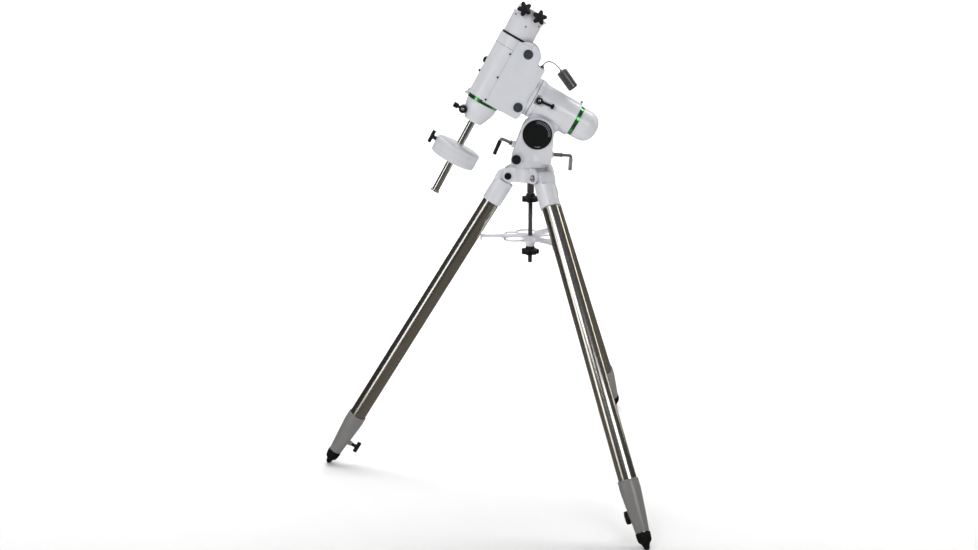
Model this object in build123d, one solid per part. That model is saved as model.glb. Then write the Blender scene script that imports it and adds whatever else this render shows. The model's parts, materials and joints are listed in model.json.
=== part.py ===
from build123d import *
import math
import os

os.makedirs("parts", exist_ok=True)

# Equatorial mount on a tripod, in millimetres.
# World frame: origin on the floor below the tripod's vertical axis, +Z up,
# -X towards the raised end of the polar axis, -Y towards the near (west) side.

# ---------------------------------------------------------------- driving dimensions
RUN_GAP = 0.05            # radial play of a shaft or ring in its bearing surface
FACE_GAP = 0.3            # play between neighbouring moving faces

HINGE_HEIGHT = 811.0      # leg hinge pins above the floor
HINGE_RADIUS = 58.5       # leg hinge pins from the vertical axis
LEG_LEAN = 31.64          # degrees from vertical
LEG_ANGLES = {"left": 180.0, "front": -60.0, "rear": 60.0}
LEG_TUBE_RADIUS = 22.25   # 1.75 inch steel tube
LEG_TUBE_BORE = 21.0
EXTENSION_RADIUS = 15.0
TIP_RADIUS = 6.5
CHEEK_RADIUS = 15.0       # rounded end of each hub cheek; the hub reaches as far below the pins
HUB_RISE = 24.0           # top of the hub above the pins
CHEEK_INNER = 20.3        # half the gap between a pair of cheeks
CHEEK_OUTER = 27.5
HINGE_PIN_RADIUS = 5.0
SOCKET_RADIUS = 26.0
SOCKET_TOP = 18.0         # distances along a leg, down from its hinge pin
SOCKET_END = 82.0
CLAMP_TOP = 783.0
CLAMP_END = 908.0
LOCK_SCREW = 868.0
HUB_RADIUS = 47.0
ROD_END = 578.0
SPREADER_TOP = 650.5

PIVOT_X = 15.7            # altitude pivot
PIVOT_Z = 920.0
POLAR_TILT = 28.6         # polar axis above the horizontal
PIVOT_ALONG = 160.0       # foot of the pivot on the polar axis, below the crossing
PIVOT_BELOW = 74.0        # pivot to polar axis
BASE_RADIUS = 52.0
BASE_BOTTOM = HINGE_HEIGHT + HUB_RISE + FACE_GAP
CHEEK_DISC = 42.0         # round top of the base's uprights
UPRIGHT_INNER = 34.0
UPRIGHT_OUTER = 46.0
LUG_Z = 866.0             # centre of the altitude lug's cross pin
LUG_X = 12.0
LUG_RADIUS = 6.0
FRONT_BOLT_TILT = 23.5
REAR_BOLT_TILT = 3.0
LATITUDE_BAR = 4.0        # radius of the latitude bolts' bent handles
PEG_X = -37.0
PEG_RADIUS = 4.5
AZIMUTH_BOLT_Z = 860.0

RA_RADIUS = 44.3          # polar axis housing
RA_FRONT = 109.3          # polar housing from the axes' crossing, front face
RA_REAR = 225.0
LEVER_X = 123.0           # polar clutch lever
LEVER_Z = 2.7
LEVER_SEAT = 45.0
LEVER_SLOPE = 0.1
SHAFT_RADIUS = 21.0       # hollow polar shaft
SHAFT_BORE = 15.5
RA_RING_RADIUS = 39.5     # polar setting circle
SPIGOT_RADIUS = 33.0
CAP_RADIUS = 40.0
CAP_START = 236.0
CAP_TIP = 291.0

DEC_RADIUS = 44.0         # declination housing
DEC_TOP = 107.0
BARREL_BOTTOM = -65.0
BOX_BOTTOM = -67.5
DEC_RING_RADIUS = 42.0    # declination setting circle
DEC_RING_BOTTOM = -75.0
CIRCLE_SCREW_X = 46.3     # screws that lock the declination circle
CIRCLE_SCREW_Z = -70.2
DEC_LEVER_TURN = 149.0    # degrees about the declination axis
DEC_LEVER_HEIGHT = 23.0
BOX_END = 99.0            # motor box reach towards the polar housing
BOX_HALF = 43.6
COVER_EDGE = 3.0
COVER_SKIN = 2.0
COVER_SCREWS = (68, 3, -60)                 # heights of the cover's screws
PLUG_PLACES = ((43, 88.7), (84, -38))       # covers of the two worm adjusters
PLUG_HOLE = 9.5
DEC_SHAFT_RADIUS = 15.0
SADDLE_RADIUS = 40.0
SADDLE_TOP = 188.0
CHANNEL_FLOOR = 170.0
KNOB_HEIGHT = 181.0
SADDLE_KNOBS = {"upper": -18.5, "lower": 24.0}
NOSE_TOP = DEC_RING_BOTTOM - FACE_GAP
NOSE_BOTTOM = -128.0
NOSE_LEVER = (-36, -111)
WEIGHT_SHAFT_RADIUS = 9.0
WEIGHT_RADIUS = 60.0
WEIGHT_CENTRE = -221.0
WEIGHT_THICKNESS = 44.0
SHAFT_END = -331.0

LAMP_Y = -8.0
LAMP_RADIUS = 13.5
LAMP_LENGTH = 56.5
CORD_RADIUS = 1.5
# Cord route in the head's frame, along the polar axis and along the declination axis.
CORD_ROUTE = [
    (90.0, 81.0), (90.5, 87.6), (93.8, 93.9), (100.2, 98.3), (109.4, 99.6),
    (118.2, 98.6), (126.6, 96.4), (134.3, 92.8),
]

# ---------------------------------------------------------------- frames
TILT = math.radians(POLAR_TILT)
RA_DOWN = Vector(math.cos(TILT), 0, -math.sin(TILT))
DEC_UP = Vector(math.sin(TILT), 0, math.cos(TILT))
PIVOT = Vector(PIVOT_X, 0, PIVOT_Z)
CROSSING = PIVOT - RA_DOWN * PIVOT_ALONG + DEC_UP * PIVOT_BELOW
# Head frame: x down the polar axis, y away from the near side, z up to the saddle.
HEAD = Plane(origin=CROSSING, x_dir=RA_DOWN, z_dir=DEC_UP)


def leg_plane(angle):
    """Leg frame at its hinge pin: x outward, y along the pin, z back up the leg."""
    turn = math.radians(angle)
    lean = math.radians(LEG_LEAN)
    outward = Vector(math.cos(turn), math.sin(turn), 0)
    upward = Vector(0, 0, 1)
    hinge = outward * HINGE_RADIUS + upward * HINGE_HEIGHT
    normal = outward * math.cos(lean) + upward * math.sin(lean)
    along = upward * math.cos(lean) - outward * math.sin(lean)
    return Plane(origin=hinge, x_dir=normal, z_dir=along)


# ---------------------------------------------------------------- shape helpers
def rod(start, end, radius):
    """Round bar between two points."""
    first = Vector(*start)
    run = Vector(*end) - first
    return Plane(origin=first, z_dir=run) * Pos(0, 0, run.length / 2) * Cylinder(radius, run.length)


def tube(start, end, outer, inner):
    return rod(start, end, outer) - rod(start, end, inner)


def cone(start, end, first_radius, last_radius):
    base = Vector(*start)
    run = Vector(*end) - base
    shape = Cone(first_radius, last_radius, run.length)
    return Plane(origin=base, z_dir=run) * Pos(0, 0, run.length / 2) * shape


def block(low, high):
    """Box between two opposite corners."""
    size = [b - a for a, b in zip(low, high)]
    middle = [(a + b) / 2 for a, b in zip(low, high)]
    return Pos(*middle) * Box(*size)


def slab(points, near, far):
    """Outline in x and z, made solid from y = near to y = far."""
    outline = make_face(Polyline(*[(x, z) for x, z in points], close=True))
    return Plane.XZ.offset(-far) * extrude(outline, far - near)


def lathe(points):
    """Outline in radius and height, turned about Z."""
    outline = Plane.XZ * make_face(Polyline(*points, close=True))
    return revolve(outline, Axis.Z)


def along_x(shape):
    """Turn a shape made about Z so that its axis is X."""
    return Rot(0, 90, 0) * shape


def star_knob(outer, inner, lobes, height):
    """Moulded knob with rounded lobes, standing on z = 0."""
    body = Pos(0, 0, height / 2) * Cylinder(inner, height)
    lobe_radius = outer * math.sin(math.pi / lobes) * 0.52
    for index in range(lobes):
        turn = Rot(0, 0, 360 * index / lobes)
        reach = outer - lobe_radius
        arm = Pos(reach / 2, 0, height / 2) * Box(reach, lobe_radius * 1.7, height)
        tip = Pos(reach, 0, height / 2) * Cylinder(lobe_radius, height)
        body += turn * (arm + tip)
    return body


def lever(reach):
    """Clutch lever: round hub about z, arm along x ending in a flared bar."""
    hub = Pos(0, 0, 5.5) * Cylinder(9.0, 11)
    arm = block((0, -3.0, 2.5), (reach, 3.0, 7.0))
    bar = block((reach - 3.5, -6.5, 1.5), (reach + 3.5, 6.5, 9.0))
    screw_seat = Pos(0, 0, 10) * Cylinder(4.6, 2.01)
    post_bore = Pos(0, 0, 1.5) * Cylinder(3.0 + RUN_GAP, 3.2)
    return (hub + arm + bar) - screw_seat - post_bore


def save(shape, name):
    export_step(shape, f"parts/{name}.step")


# ---------------------------------------------------------------- tripod hub
def across_hinge(start, end, radius):
    """Round bar on the first leg's hinge axis, before it is turned to its leg."""
    return rod((HINGE_RADIUS, start, HINGE_HEIGHT), (HINGE_RADIUS, end, HINGE_HEIGHT), radius)


def tripod_hub():
    low = HINGE_HEIGHT - CHEEK_RADIUS
    high = HINGE_HEIGHT + HUB_RISE
    shoulder = HINGE_RADIUS + CHEEK_RADIUS - HUB_RISE
    body = rod((0, 0, low), (0, 0, high), HUB_RADIUS)
    slots = []
    for angle in LEG_ANGLES.values():
        turn = Rot(0, 0, angle)
        arm = block((0, -CHEEK_OUTER, low), (shoulder, CHEEK_OUTER, high))
        arm += block((shoulder, -CHEEK_OUTER, low), (HINGE_RADIUS, CHEEK_OUTER, HINGE_HEIGHT))
        corner = rod((shoulder, -CHEEK_OUTER, HINGE_HEIGHT), (shoulder, CHEEK_OUTER, HINGE_HEIGHT), HUB_RISE)
        corner &= block((shoulder, -CHEEK_OUTER, HINGE_HEIGHT), (HINGE_RADIUS + 30, CHEEK_OUTER, high))
        end = across_hinge(-CHEEK_OUTER, CHEEK_OUTER, CHEEK_RADIUS) + corner
        reach = HINGE_RADIUS - CHEEK_RADIUS - 1.5
        slots.append(turn * block((reach, -CHEEK_INNER, low - 1), (HINGE_RADIUS + 20, CHEEK_INNER, high + 1)))
        slots.append(turn * across_hinge(-CHEEK_OUTER - 1, CHEEK_OUTER + 1, HINGE_PIN_RADIUS))
        body += turn * (arm + end)
    for slot in slots:
        body -= slot
    body -= rod((0, 0, low - 1), (0, 0, high + 1), 9.5)
    # The peg that the two azimuth bolts press on.
    body += rod((PEG_X, 0, high - 9), (PEG_X, 0, 867), PEG_RADIUS)
    return body


def hinge_bolts():
    """Three hinge bolts, each with a socket head at one end and a domed nut at the other."""
    bolts = []
    for angle in LEG_ANGLES.values():
        reach = CHEEK_OUTER
        shank = across_hinge(-reach, reach, HINGE_PIN_RADIUS)
        head = across_hinge(reach, reach + 5, 7.5)
        socket = across_hinge(reach + 2, reach + 6, 4.0)
        nut = across_hinge(-reach - 4, -reach, 8.0)
        dome = Pos(HINGE_RADIUS, -reach - 2.5, HINGE_HEIGHT) * Sphere(5.8)
        dome -= across_hinge(-reach - 2, -reach + 9, 9.0)
        bolts.append(Rot(0, 0, angle) * (shank + (head - socket) + nut + dome))
    return Compound(children=[piece.solid() for piece in bolts])


def centre_rod():
    collar_low = 764.0
    thick = rod((0, 0, collar_low), (0, 0, HINGE_HEIGHT + 2), 9.0)
    return thick + rod((0, 0, ROD_END), (0, 0, 838), 6.0)


def rod_knob(top):
    """Six-lobed hand knob with a collar, threaded on the centre rod."""
    lobes = Pos(0, 0, top - 21) * star_knob(24.0, 18.0, 6, 13.0)
    collar = rod((0, 0, top - 9), (0, 0, top), 11.5)
    return lobes + collar - rod((0, 0, top - 30), (0, 0, top + 1), 6.0 + RUN_GAP)


def spreader():
    """Three-armed leg spreader that is also a tray for eyepieces."""
    reach = 130.9
    plate_low = SPREADER_TOP - 4.0
    plate = rod((0, 0, plate_low), (0, 0, SPREADER_TOP), 50)
    holes = rod((0, 0, SPREADER_TOP - 40), (0, 0, SPREADER_TOP + 1), 6.0 + RUN_GAP)
    for angle in LEG_ANGLES.values():
        turn = Rot(0, 0, angle)
        arm = extrude(Pos(0, 0, plate_low) * make_face(Polyline(
            (0, -30), (76, -17), (100, -9.5), (reach, -9.5),
            (reach, 9.5), (100, 9.5), (76, 17), (0, 30), close=True)), 4.0)
        foot = block((reach - 4, -9.5, SPREADER_TOP - 14), (reach, 9.5, SPREADER_TOP))
        lobe = Rot(0, 0, 41) * rod((53, 0, plate_low), (53, 0, SPREADER_TOP), 30)
        lobe += Rot(0, 0, 88) * rod((58, 0, plate_low), (58, 0, SPREADER_TOP), 20.5)
        large = Rot(0, 0, 41) * rod((53, 0, plate_low - 9), (53, 0, SPREADER_TOP + 1), 25)
        small = Rot(0, 0, 88) * rod((58, 0, plate_low - 9), (58, 0, SPREADER_TOP + 1), 15.5)
        plate += turn * (arm + foot + lobe)
        holes += turn * (large + small)
    boss = rod((0, 0, SPREADER_TOP - 28), (0, 0, SPREADER_TOP), 12.0)
    return plate + boss - holes


# ---------------------------------------------------------------- legs
def leg_socket():
    """Aluminium casting: a tongue between the hub's cheeks above a round socket."""
    barrel = rod((0, 0, -SOCKET_END), (0, 0, -SOCKET_TOP), SOCKET_RADIUS)
    tongue = rod((0, -20, 0), (0, 20, 0), CHEEK_RADIUS)
    tongue += slab([(-15, 0), (-15, -24), (26, -24), (26, -7), (21, 3), (8.5, 12.2)], -20, 20)
    bore = rod((0, 0, -SOCKET_END - 1), (0, 0, -30), LEG_TUBE_RADIUS)
    pin = rod((0, -21, 0), (0, 21, 0), 5.0 + RUN_GAP)
    return barrel + tongue - bore - pin


def leg_tube():
    return tube((0, 0, -815), (0, 0, -32), LEG_TUBE_RADIUS, LEG_TUBE_BORE)


def leg_clamp():
    """Tapered casting at the tube's lower end, with the boss for the lock screw."""
    body = lathe([
        (0, -CLAMP_END), (16.8, -CLAMP_END), (18.5, -CLAMP_END + 18), (25.0, -815),
        (25.4, -806), (24.6, -CLAMP_TOP - 6), (23.6, -CLAMP_TOP), (0, -CLAMP_TOP),
    ])
    boss = rod((-14, 0, -LOCK_SCREW), (-29, 0, -LOCK_SCREW), 6.5)
    tube_bore = rod((0, 0, -815.2), (0, 0, -CLAMP_TOP + 1), LEG_TUBE_RADIUS)
    sleeve_bore = rod((0, 0, -CLAMP_END - 1), (0, 0, -810), EXTENSION_RADIUS + RUN_GAP)
    screw_bore = rod((-12, 0, -LOCK_SCREW), (-30, 0, -LOCK_SCREW), 3.0 + RUN_GAP)
    return body + boss - tube_bore - sleeve_bore - screw_bore


def leg_extension():
    """Lower leg tube with its guide collar, pushed up inside the leg tube."""
    sleeve = tube((0, 0, -914), (0, 0, -330), EXTENSION_RADIUS, EXTENSION_RADIUS - 1.5)
    guide = tube((0, 0, -362), (0, 0, -330), LEG_TUBE_BORE - RUN_GAP, EXTENSION_RADIUS - 1.5)
    return sleeve + guide


def leg_foot():
    """Rubber foot with a narrow round tip."""
    cup = lathe([
        (0, -940), (8.5, -940), (11, -936), (16.8, -928), (17.6, -922), (17.6, -908.4),
        (15.0, -908.4), (15.0, -914), (0, -914),
    ])
    # The round tip just touches the floor with the leg at its lean.
    centre = -(HINGE_HEIGHT - TIP_RADIUS) / math.cos(math.radians(LEG_LEAN))
    tip = rod((0, 0, centre), (0, 0, -930), TIP_RADIUS) + Pos(0, 0, centre) * Sphere(TIP_RADIUS)
    return cup + tip


def leg_lock_screw():
    """T-handled screw that presses on the lower leg tube."""
    shank = rod((-15.2, 0, -LOCK_SCREW), (-36, 0, -LOCK_SCREW), 3.0)
    stem = rod((-29.4, 0, -LOCK_SCREW), (-46, 0, -LOCK_SCREW), 5.0)
    bar = rod((-47, 0, -LOCK_SCREW - 16), (-47, 0, -LOCK_SCREW + 16), 5.5)
    return shank + stem + bar


# ---------------------------------------------------------------- base
def bolt_direction(tilt, side):
    """Outward direction of a latitude bolt: side -1 is the raised end, +1 the other."""
    turn = math.radians(tilt)
    return Vector(side * math.cos(turn), 0, -side * math.sin(turn))


def azimuth_base():
    """Turning base with two uprights that carry the altitude pivot."""
    ring = rod((0, 0, BASE_BOTTOM), (0, 0, BASE_BOTTOM + 16), BASE_RADIUS)
    outline = [
        (-50, BASE_BOTTOM + 8), (49.5, BASE_BOTTOM + 8), (52, 850), (54, 872), (PIVOT_X + 41.9, PIVOT_Z),
        (PIVOT_X - 37, PIVOT_Z + 19), (-41, 889),
    ]
    tower = slab(outline, -UPRIGHT_OUTER, UPRIGHT_OUTER)
    tower += rod((PIVOT_X, -UPRIGHT_OUTER, PIVOT_Z), (PIVOT_X, UPRIGHT_OUTER, PIVOT_Z), CHEEK_DISC)
    # The round ring runs up into the uprights.
    tower += cone((0, 0, BASE_BOTTOM + 15), (0, 0, 872), BASE_RADIUS, UPRIGHT_OUTER)
    # Space between the uprights for the polar housing's neck.
    tower -= block((-90, -UPRIGHT_INNER, 888), (90, UPRIGHT_INNER, 1000))
    tower -= block((-33, -UPRIGHT_INNER, 848), (43, UPRIGHT_INNER, 900))
    tower -= block((20, -UPRIGHT_INNER, 874), (90, UPRIGHT_INNER, 900))
    body = ring + tower
    lug = Vector(LUG_X, 0, LUG_Z)
    for tilt, side, start, end in ((FRONT_BOLT_TILT, -1, 46, 66), (REAR_BOLT_TILT, 1, 34, 46)):
        out = bolt_direction(tilt, side)
        body += rod(lug + out * start, lug + out * end, 9.0)
    for tilt, side in ((FRONT_BOLT_TILT, -1), (REAR_BOLT_TILT, 1)):
        out = bolt_direction(tilt, side)
        body -= rod(lug + out * 20, lug + out * 80, 5.0 + RUN_GAP)
    for side in (-1, 1):
        body += rod((PEG_X, side * 30, AZIMUTH_BOLT_Z), (PEG_X, side * 58, AZIMUTH_BOLT_Z), 12.5)
    # Pocket for the azimuth peg and bores for the bolts that press on it.
    body -= block((PEG_X - 6.5, -14, BASE_BOTTOM - 1), (PEG_X + 6.5, 14, 869))
    body -= rod((PEG_X, -60, AZIMUTH_BOLT_Z), (PEG_X, 60, AZIMUTH_BOLT_Z), 4.0 + RUN_GAP)
    body -= rod((PIVOT_X, -50, PIVOT_Z), (PIVOT_X, 50, PIVOT_Z), 8.0)
    body -= rod((0, 0, BASE_BOTTOM - 1), (0, 0, 840), 6.0 + RUN_GAP)
    return body


def azimuth_knob(side):
    shank = rod((PEG_X, side * (PEG_RADIUS + 1), AZIMUTH_BOLT_Z), (PEG_X, side * 66, AZIMUTH_BOLT_Z), 4.0)
    grip = rod((PEG_X, side * 66, AZIMUTH_BOLT_Z), (PEG_X, side * 80, AZIMUTH_BOLT_Z), 12.0)
    grip = chamfer(grip.edges().group_by(Axis.Y)[-1 if side > 0 else 0], 1.5)
    return shank + grip


def latitude_bolt(tilt, side, reach, grip_length):
    """L-handled bolt that presses on the altitude lug."""
    lug = Vector(LUG_X, 0, LUG_Z)
    out = bolt_direction(tilt, side)
    down = Vector(out.Z * side, 0, -abs(out.X))
    corner = lug + out * reach
    screw = rod(lug + out * (LUG_RADIUS + 1.6), lug + out * (reach * 0.78), 5.0)
    stem = rod(lug + out * (reach * 0.6), corner, LATITUDE_BAR)
    bend = Pos(corner.X, 0, corner.Z) * Sphere(LATITUDE_BAR)
    grip = rod(corner, corner + down * grip_length, LATITUDE_BAR)
    sleeve = rod(corner + down * 6, corner + down * grip_length, 5.2)
    return screw + stem + bend + grip + sleeve


def altitude_pivot():
    return rod((PIVOT_X, -UPRIGHT_OUTER, PIVOT_Z), (PIVOT_X, UPRIGHT_OUTER, PIVOT_Z), 8.0)


def latitude_dials():
    """Latitude scale discs on the outer faces of both uprights."""
    discs = []
    for side in (-1, 1):
        face = UPRIGHT_OUTER + 3.5
        disc = rod((PIVOT_X, side * UPRIGHT_OUTER, PIVOT_Z), (PIVOT_X, side * face, PIVOT_Z), 37.5)
        discs.append(chamfer(disc.edges().group_by(Axis.Y)[-1 if side > 0 else 0], 1.0).solid())
    return Compound(children=discs)


# ---------------------------------------------------------------- polar axis (head frame)
def ra_housing():
    shell = along_x(lathe([
        (0, RA_FRONT), (50.5, RA_FRONT), (51.0, RA_FRONT + 2), (51.0, 117), (47.5, 124), (46.2, 135),
        (RA_RADIUS, RA_REAR), (SPIGOT_RADIUS - RUN_GAP, RA_REAR), (SPIGOT_RADIUS - RUN_GAP, 246), (0, 246),
    ]))
    half = UPRIGHT_INNER - FACE_GAP
    pivot = (PIVOT_ALONG, -PIVOT_BELOW)
    neck = slab([
        (124, -20), (124, pivot[1]), (PIVOT_ALONG - 20, pivot[1] - 24), (PIVOT_ALONG + 20, pivot[1] - 24),
        (196, pivot[1]), (200, -20),
    ], -half, half)
    neck += rod((pivot[0], -half, pivot[1]), (pivot[0], half, pivot[1]), 32)
    webs = slab([(119, -30), (119, -44), (126, -62), (190, -60), (203, -44), (203, -30)], -26, 26)
    body = shell + neck + webs
    # Flat seat for the clutch lever, with the lever's screw in it.
    body -= block((112.5, -60, LEVER_Z - 12), (135, -LEVER_SEAT, LEVER_Z + 12))
    body += rod((LEVER_X, -LEVER_SEAT - 3, LEVER_Z), (LEVER_X, -LEVER_SEAT + 1, LEVER_Z), 3.0)
    body -= rod((RA_FRONT - 1, 0, 0), (250, 0, 0), SHAFT_RADIUS + RUN_GAP)
    groove = tube((218, 0, 0), (RA_REAR, 0, 0), 36.1, SPIGOT_RADIUS - RUN_GAP)
    body -= groove
    body -= rod((221.5, 0, 34), (221.5, 0, 50), 2.0)
    body -= rod((pivot[0], -50, pivot[1]), (pivot[0], 50, pivot[1]), 8.0 + RUN_GAP)
    return HEAD * body + altitude_lug()


def altitude_lug():
    """Tongue below the pivot with a cross pin that the latitude bolts press on."""
    tongue = slab([(LUG_X - 4, LUG_Z), (LUG_X + 4, LUG_Z), (PIVOT_X + 8, 892), (PIVOT_X - 10, 892)], -8, 8)
    return tongue + rod((LUG_X, -10, LUG_Z), (LUG_X, 10, LUG_Z), LUG_RADIUS)


def ra_setting_circle():
    ring = tube((RA_REAR + FACE_GAP, 0, 0), (235.5, 0, 0), RA_RING_RADIUS, SPIGOT_RADIUS)
    sleeve = tube((218.3, 0, 0), (RA_REAR + FACE_GAP, 0, 0), 36.1 - RUN_GAP, SPIGOT_RADIUS)
    return HEAD * (ring + sleeve)


def ra_circle_screw():
    """Thumbscrew that locks the polar setting circle."""
    shank = rod((221.5, 0, 36.2), (221.5, 0, 47), 2.0)
    head = rod((221.5, 0, 45.5), (221.5, 0, 52), 3.6)
    return HEAD * (shank + head)


def ra_lock_lever():
    seat = (LEVER_X, -LEVER_SEAT - FACE_GAP, LEVER_Z)
    return HEAD * (Plane(origin=seat, x_dir=(1, 0, LEVER_SLOPE), z_dir=(0, -1, 0)) * lever(36.0))


def polar_scope_cap():
    """Hollow domed cap over the polar finder."""
    outer = rod((CAP_START, 0, 0), (CAP_TIP, 0, 0), CAP_RADIUS)
    outer = fillet(outer.edges().group_by(Axis.X)[-1], CAP_RADIUS - 5)
    inner = rod((CAP_START - 1, 0, 0), (CAP_TIP - 4, 0, 0), CAP_RADIUS - 4)
    inner = fillet(inner.edges().group_by(Axis.X)[-1], CAP_RADIUS - 9)
    lip = tube((CAP_START, 0, 0), (CAP_START + 9, 0, 0), CAP_RADIUS - 3.5, SPIGOT_RADIUS)
    return HEAD * (outer - inner + lip)


# ---------------------------------------------------------------- declination axis (head frame)
def ra_shaft():
    return HEAD * tube((24, 0, 0), (222, 0, 0), SHAFT_RADIUS, SHAFT_BORE)


def polar_scope():
    """Polar finder held by two lands in the hollow shaft, eyepiece at the lower end."""
    barrel = tube((40, 0, 0), (248, 0, 0), 12.0, 10.0)
    lands = tube((46, 0, 0), (58, 0, 0), SHAFT_BORE, 10.0) + tube((204, 0, 0), (216, 0, 0), SHAFT_BORE, 10.0)
    eyepiece = tube((236, 0, 0), (264, 0, 0), 17.0, 10.0)
    lens = rod((50, 0, 0), (54, 0, 0), 10.0) + rod((252, 0, 0), (256, 0, 0), 10.0)
    return HEAD * (barrel + lands + eyepiece + lens)


def box_outline():
    """Outline of the motor box in the head frame's x and z, up to the shoulder."""
    return [
        (-2, BOX_BOTTOM), (93, BOX_BOTTOM), (BOX_END, -57), (BOX_END, 73), (77, 76), (77, 98), (66, 108),
        (55, 114), (44, 117.5),
    ]


def shoulder_boss():
    """Round boss beside the saddle that houses the declination worm."""
    boss = rod((42, -BOX_HALF, 80), (42, BOX_HALF, 80), 38)
    return boss & block((0, -60, 40), (77, 60, 130))


def dec_housing():
    barrel = rod((0, 0, BARREL_BOTTOM), (0, 0, DEC_TOP), DEC_RADIUS)
    box = slab(box_outline()[:4] + [(77, 76), (77, 90), (44, 90), (-2, 90)], -BOX_HALF, BOX_HALF)
    body = barrel + box + shoulder_boss()
    body -= rod((0, 0, BOX_BOTTOM - 1), (0, 0, BARREL_BOTTOM), DEC_RING_RADIUS + 1)
    body -= rod((0, 0, DEC_TOP), (0, 0, 140), SADDLE_RADIUS + 3.5)
    body += rod((BOX_END, 0, 0), (108, 0, 0), 50.5)
    # Motor bay open to the near side, behind the cover.
    body -= block((48, -BOX_HALF - 1, -62), (93, 34, -24))
    body -= block((48, -BOX_HALF - 1, 24), (93, 34, 68))
    body -= block((60, -BOX_HALF - 1, -30), (93, -24, 30))
    body -= rod((20, 0, 0), (110, 0, 0), SHAFT_RADIUS)
    body -= rod((0, 0, BOX_BOTTOM - 1), (0, 0, DEC_TOP + 1), DEC_SHAFT_RADIUS + RUN_GAP)
    # Hidden spaces for the two worm wheels and their worms.
    body -= tube((99.5, 0, 0), (106, 0, 0), 37.5, SHAFT_RADIUS - 1)
    body -= block((99.5, -22, 30), (106, 22, 44))
    body -= rod((0, 0, 84), (0, 0, 93), 37.5)
    body -= block((30, -22, 84), (48, 22, 93))
    for z in COVER_SCREWS:
        body -= rod((COVER_EDGE, -BOX_HALF + 9, z), (COVER_EDGE, -BOX_HALF - 4, z), 1.6)
    # Two lugs below the housing for the screws that lock the setting circle.
    for x in (-CIRCLE_SCREW_X, CIRCLE_SCREW_X):
        inner = math.copysign(41.0, x)
        outer = math.copysign(CIRCLE_SCREW_X + 3, x)
        low, high = sorted((inner, outer))
        body += block((low, -3.5, BARREL_BOTTOM), (high, 3.5, -57))
        body += block((x - 3, -3.5, CIRCLE_SCREW_Z - 3), (x + 3, 3.5, BARREL_BOTTOM))
        body -= rod((x - 4, 0, CIRCLE_SCREW_Z), (x + 4, 0, CIRCLE_SCREW_Z), 1.6)
    body -= rod((90, LAMP_Y, 70), (90, LAMP_Y, 90), 2.5)
    return HEAD * body


def motor_cover():
    """Flat near-side cover over the motor bay."""
    near_edge = COVER_EDGE + 3.5
    points = [(near_edge, BOX_BOTTOM)] + box_outline()[1:9] + [(44, 106.5), (near_edge, 106.5)]
    plate = slab(points, -BOX_HALF - COVER_SKIN, -BOX_HALF)
    for x, z in PLUG_PLACES:
        plate -= rod((x, -BOX_HALF - 4, z), (x, -BOX_HALF + 1, z), PLUG_HOLE)
    plate -= rod((0, 0, DEC_TOP), (0, 0, 140), SADDLE_RADIUS + 3.5)
    return HEAD * plate


def housing_screws():
    """Three cover screws and the two grub screws that lock the declination circle."""
    screws = []
    for z in COVER_SCREWS:
        shank = rod((COVER_EDGE, -BOX_HALF + 8, z), (COVER_EDGE, -DEC_RADIUS, z), 1.6)
        head = rod((COVER_EDGE, -DEC_RADIUS, z), (COVER_EDGE, -DEC_RADIUS - 1.2, z), 2.4)
        screws.append((HEAD * (shank + head)).solid())
    for side in (-1, 1):
        tip, seat = side * (DEC_RING_RADIUS + FACE_GAP), side * (CIRCLE_SCREW_X + 3)
        shank = rod((tip, 0, CIRCLE_SCREW_Z), (seat, 0, CIRCLE_SCREW_Z), 1.6)
        head = rod((seat, 0, CIRCLE_SCREW_Z), (seat + side * 2.4, 0, CIRCLE_SCREW_Z), 2.4)
        screws.append((HEAD * (shank + head)).solid())
    return Compound(children=screws)


def cover_plugs():
    """Round plugs over the two worm adjusters."""
    plugs = []
    for x, z in PLUG_PLACES:
        face = rod((x, -BOX_HALF - COVER_SKIN - 1.8, z), (x, -BOX_HALF - COVER_SKIN, z), PLUG_HOLE + 2.5)
        stem = rod((x, -BOX_HALF - COVER_SKIN, z), (x, -BOX_HALF, z), PLUG_HOLE)
        plugs.append((HEAD * (face + stem)).solid())
    return Compound(children=plugs)


def port_panel():
    """Connector panel on the far side, with power, guide and hand-control sockets."""
    plate = block((30, BOX_HALF, -46), (88, BOX_HALF + 2.5, 46))
    for z in (-26, 2, 28):
        plate -= rod((59, BOX_HALF + 0.8, z), (59, BOX_HALF + 3, z), 6.0)
    return HEAD * plate


def drive_motors():
    """Two geared motors in the motor bay, one for each axis."""
    motors = []
    for z in (46, -43):
        can = rod((70, -40, z), (70, 8, z), 16.5)
        gearbox = rod((70, 8, z), (70, 22, z), 14.0)
        spindle = rod((70, 22, z), (70, 30, z), 3.0)
        pinion = rod((70, 25, z), (70, 30, z), 6.0)
        motors.append((HEAD * (can + gearbox + spindle + pinion)).solid())
    return Compound(children=motors)


def worm_drives():
    """Worm wheel and worm of each axis."""
    ra_wheel = tube((100, 0, 0), (105.5, 0, 0), 37.0, SHAFT_RADIUS)
    ra_worm = rod((102.8, -20, 40.3), (102.8, 20, 40.3), 3.1)
    dec_wheel = tube((0, 0, 84.5), (0, 0, 92.5), 36.8, DEC_SHAFT_RADIUS + 0.4)
    dec_worm = rod((42.2, -20, 88.5), (42.2, 20, 88.5), 4.4)
    return Compound(children=[(HEAD * piece).solid() for piece in (ra_wheel, ra_worm, dec_wheel, dec_worm)])


def dec_lock_lever():
    """Declination clutch lever, standing just clear of the round housing."""
    turn = math.radians(DEC_LEVER_TURN)
    out = Vector(math.cos(turn), math.sin(turn), 0)
    seat = out * (DEC_RADIUS + FACE_GAP) + Vector(0, 0, DEC_LEVER_HEIGHT)
    return HEAD * (Plane(origin=seat, x_dir=(0, 0, -1), z_dir=out) * lever(31.0))


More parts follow.
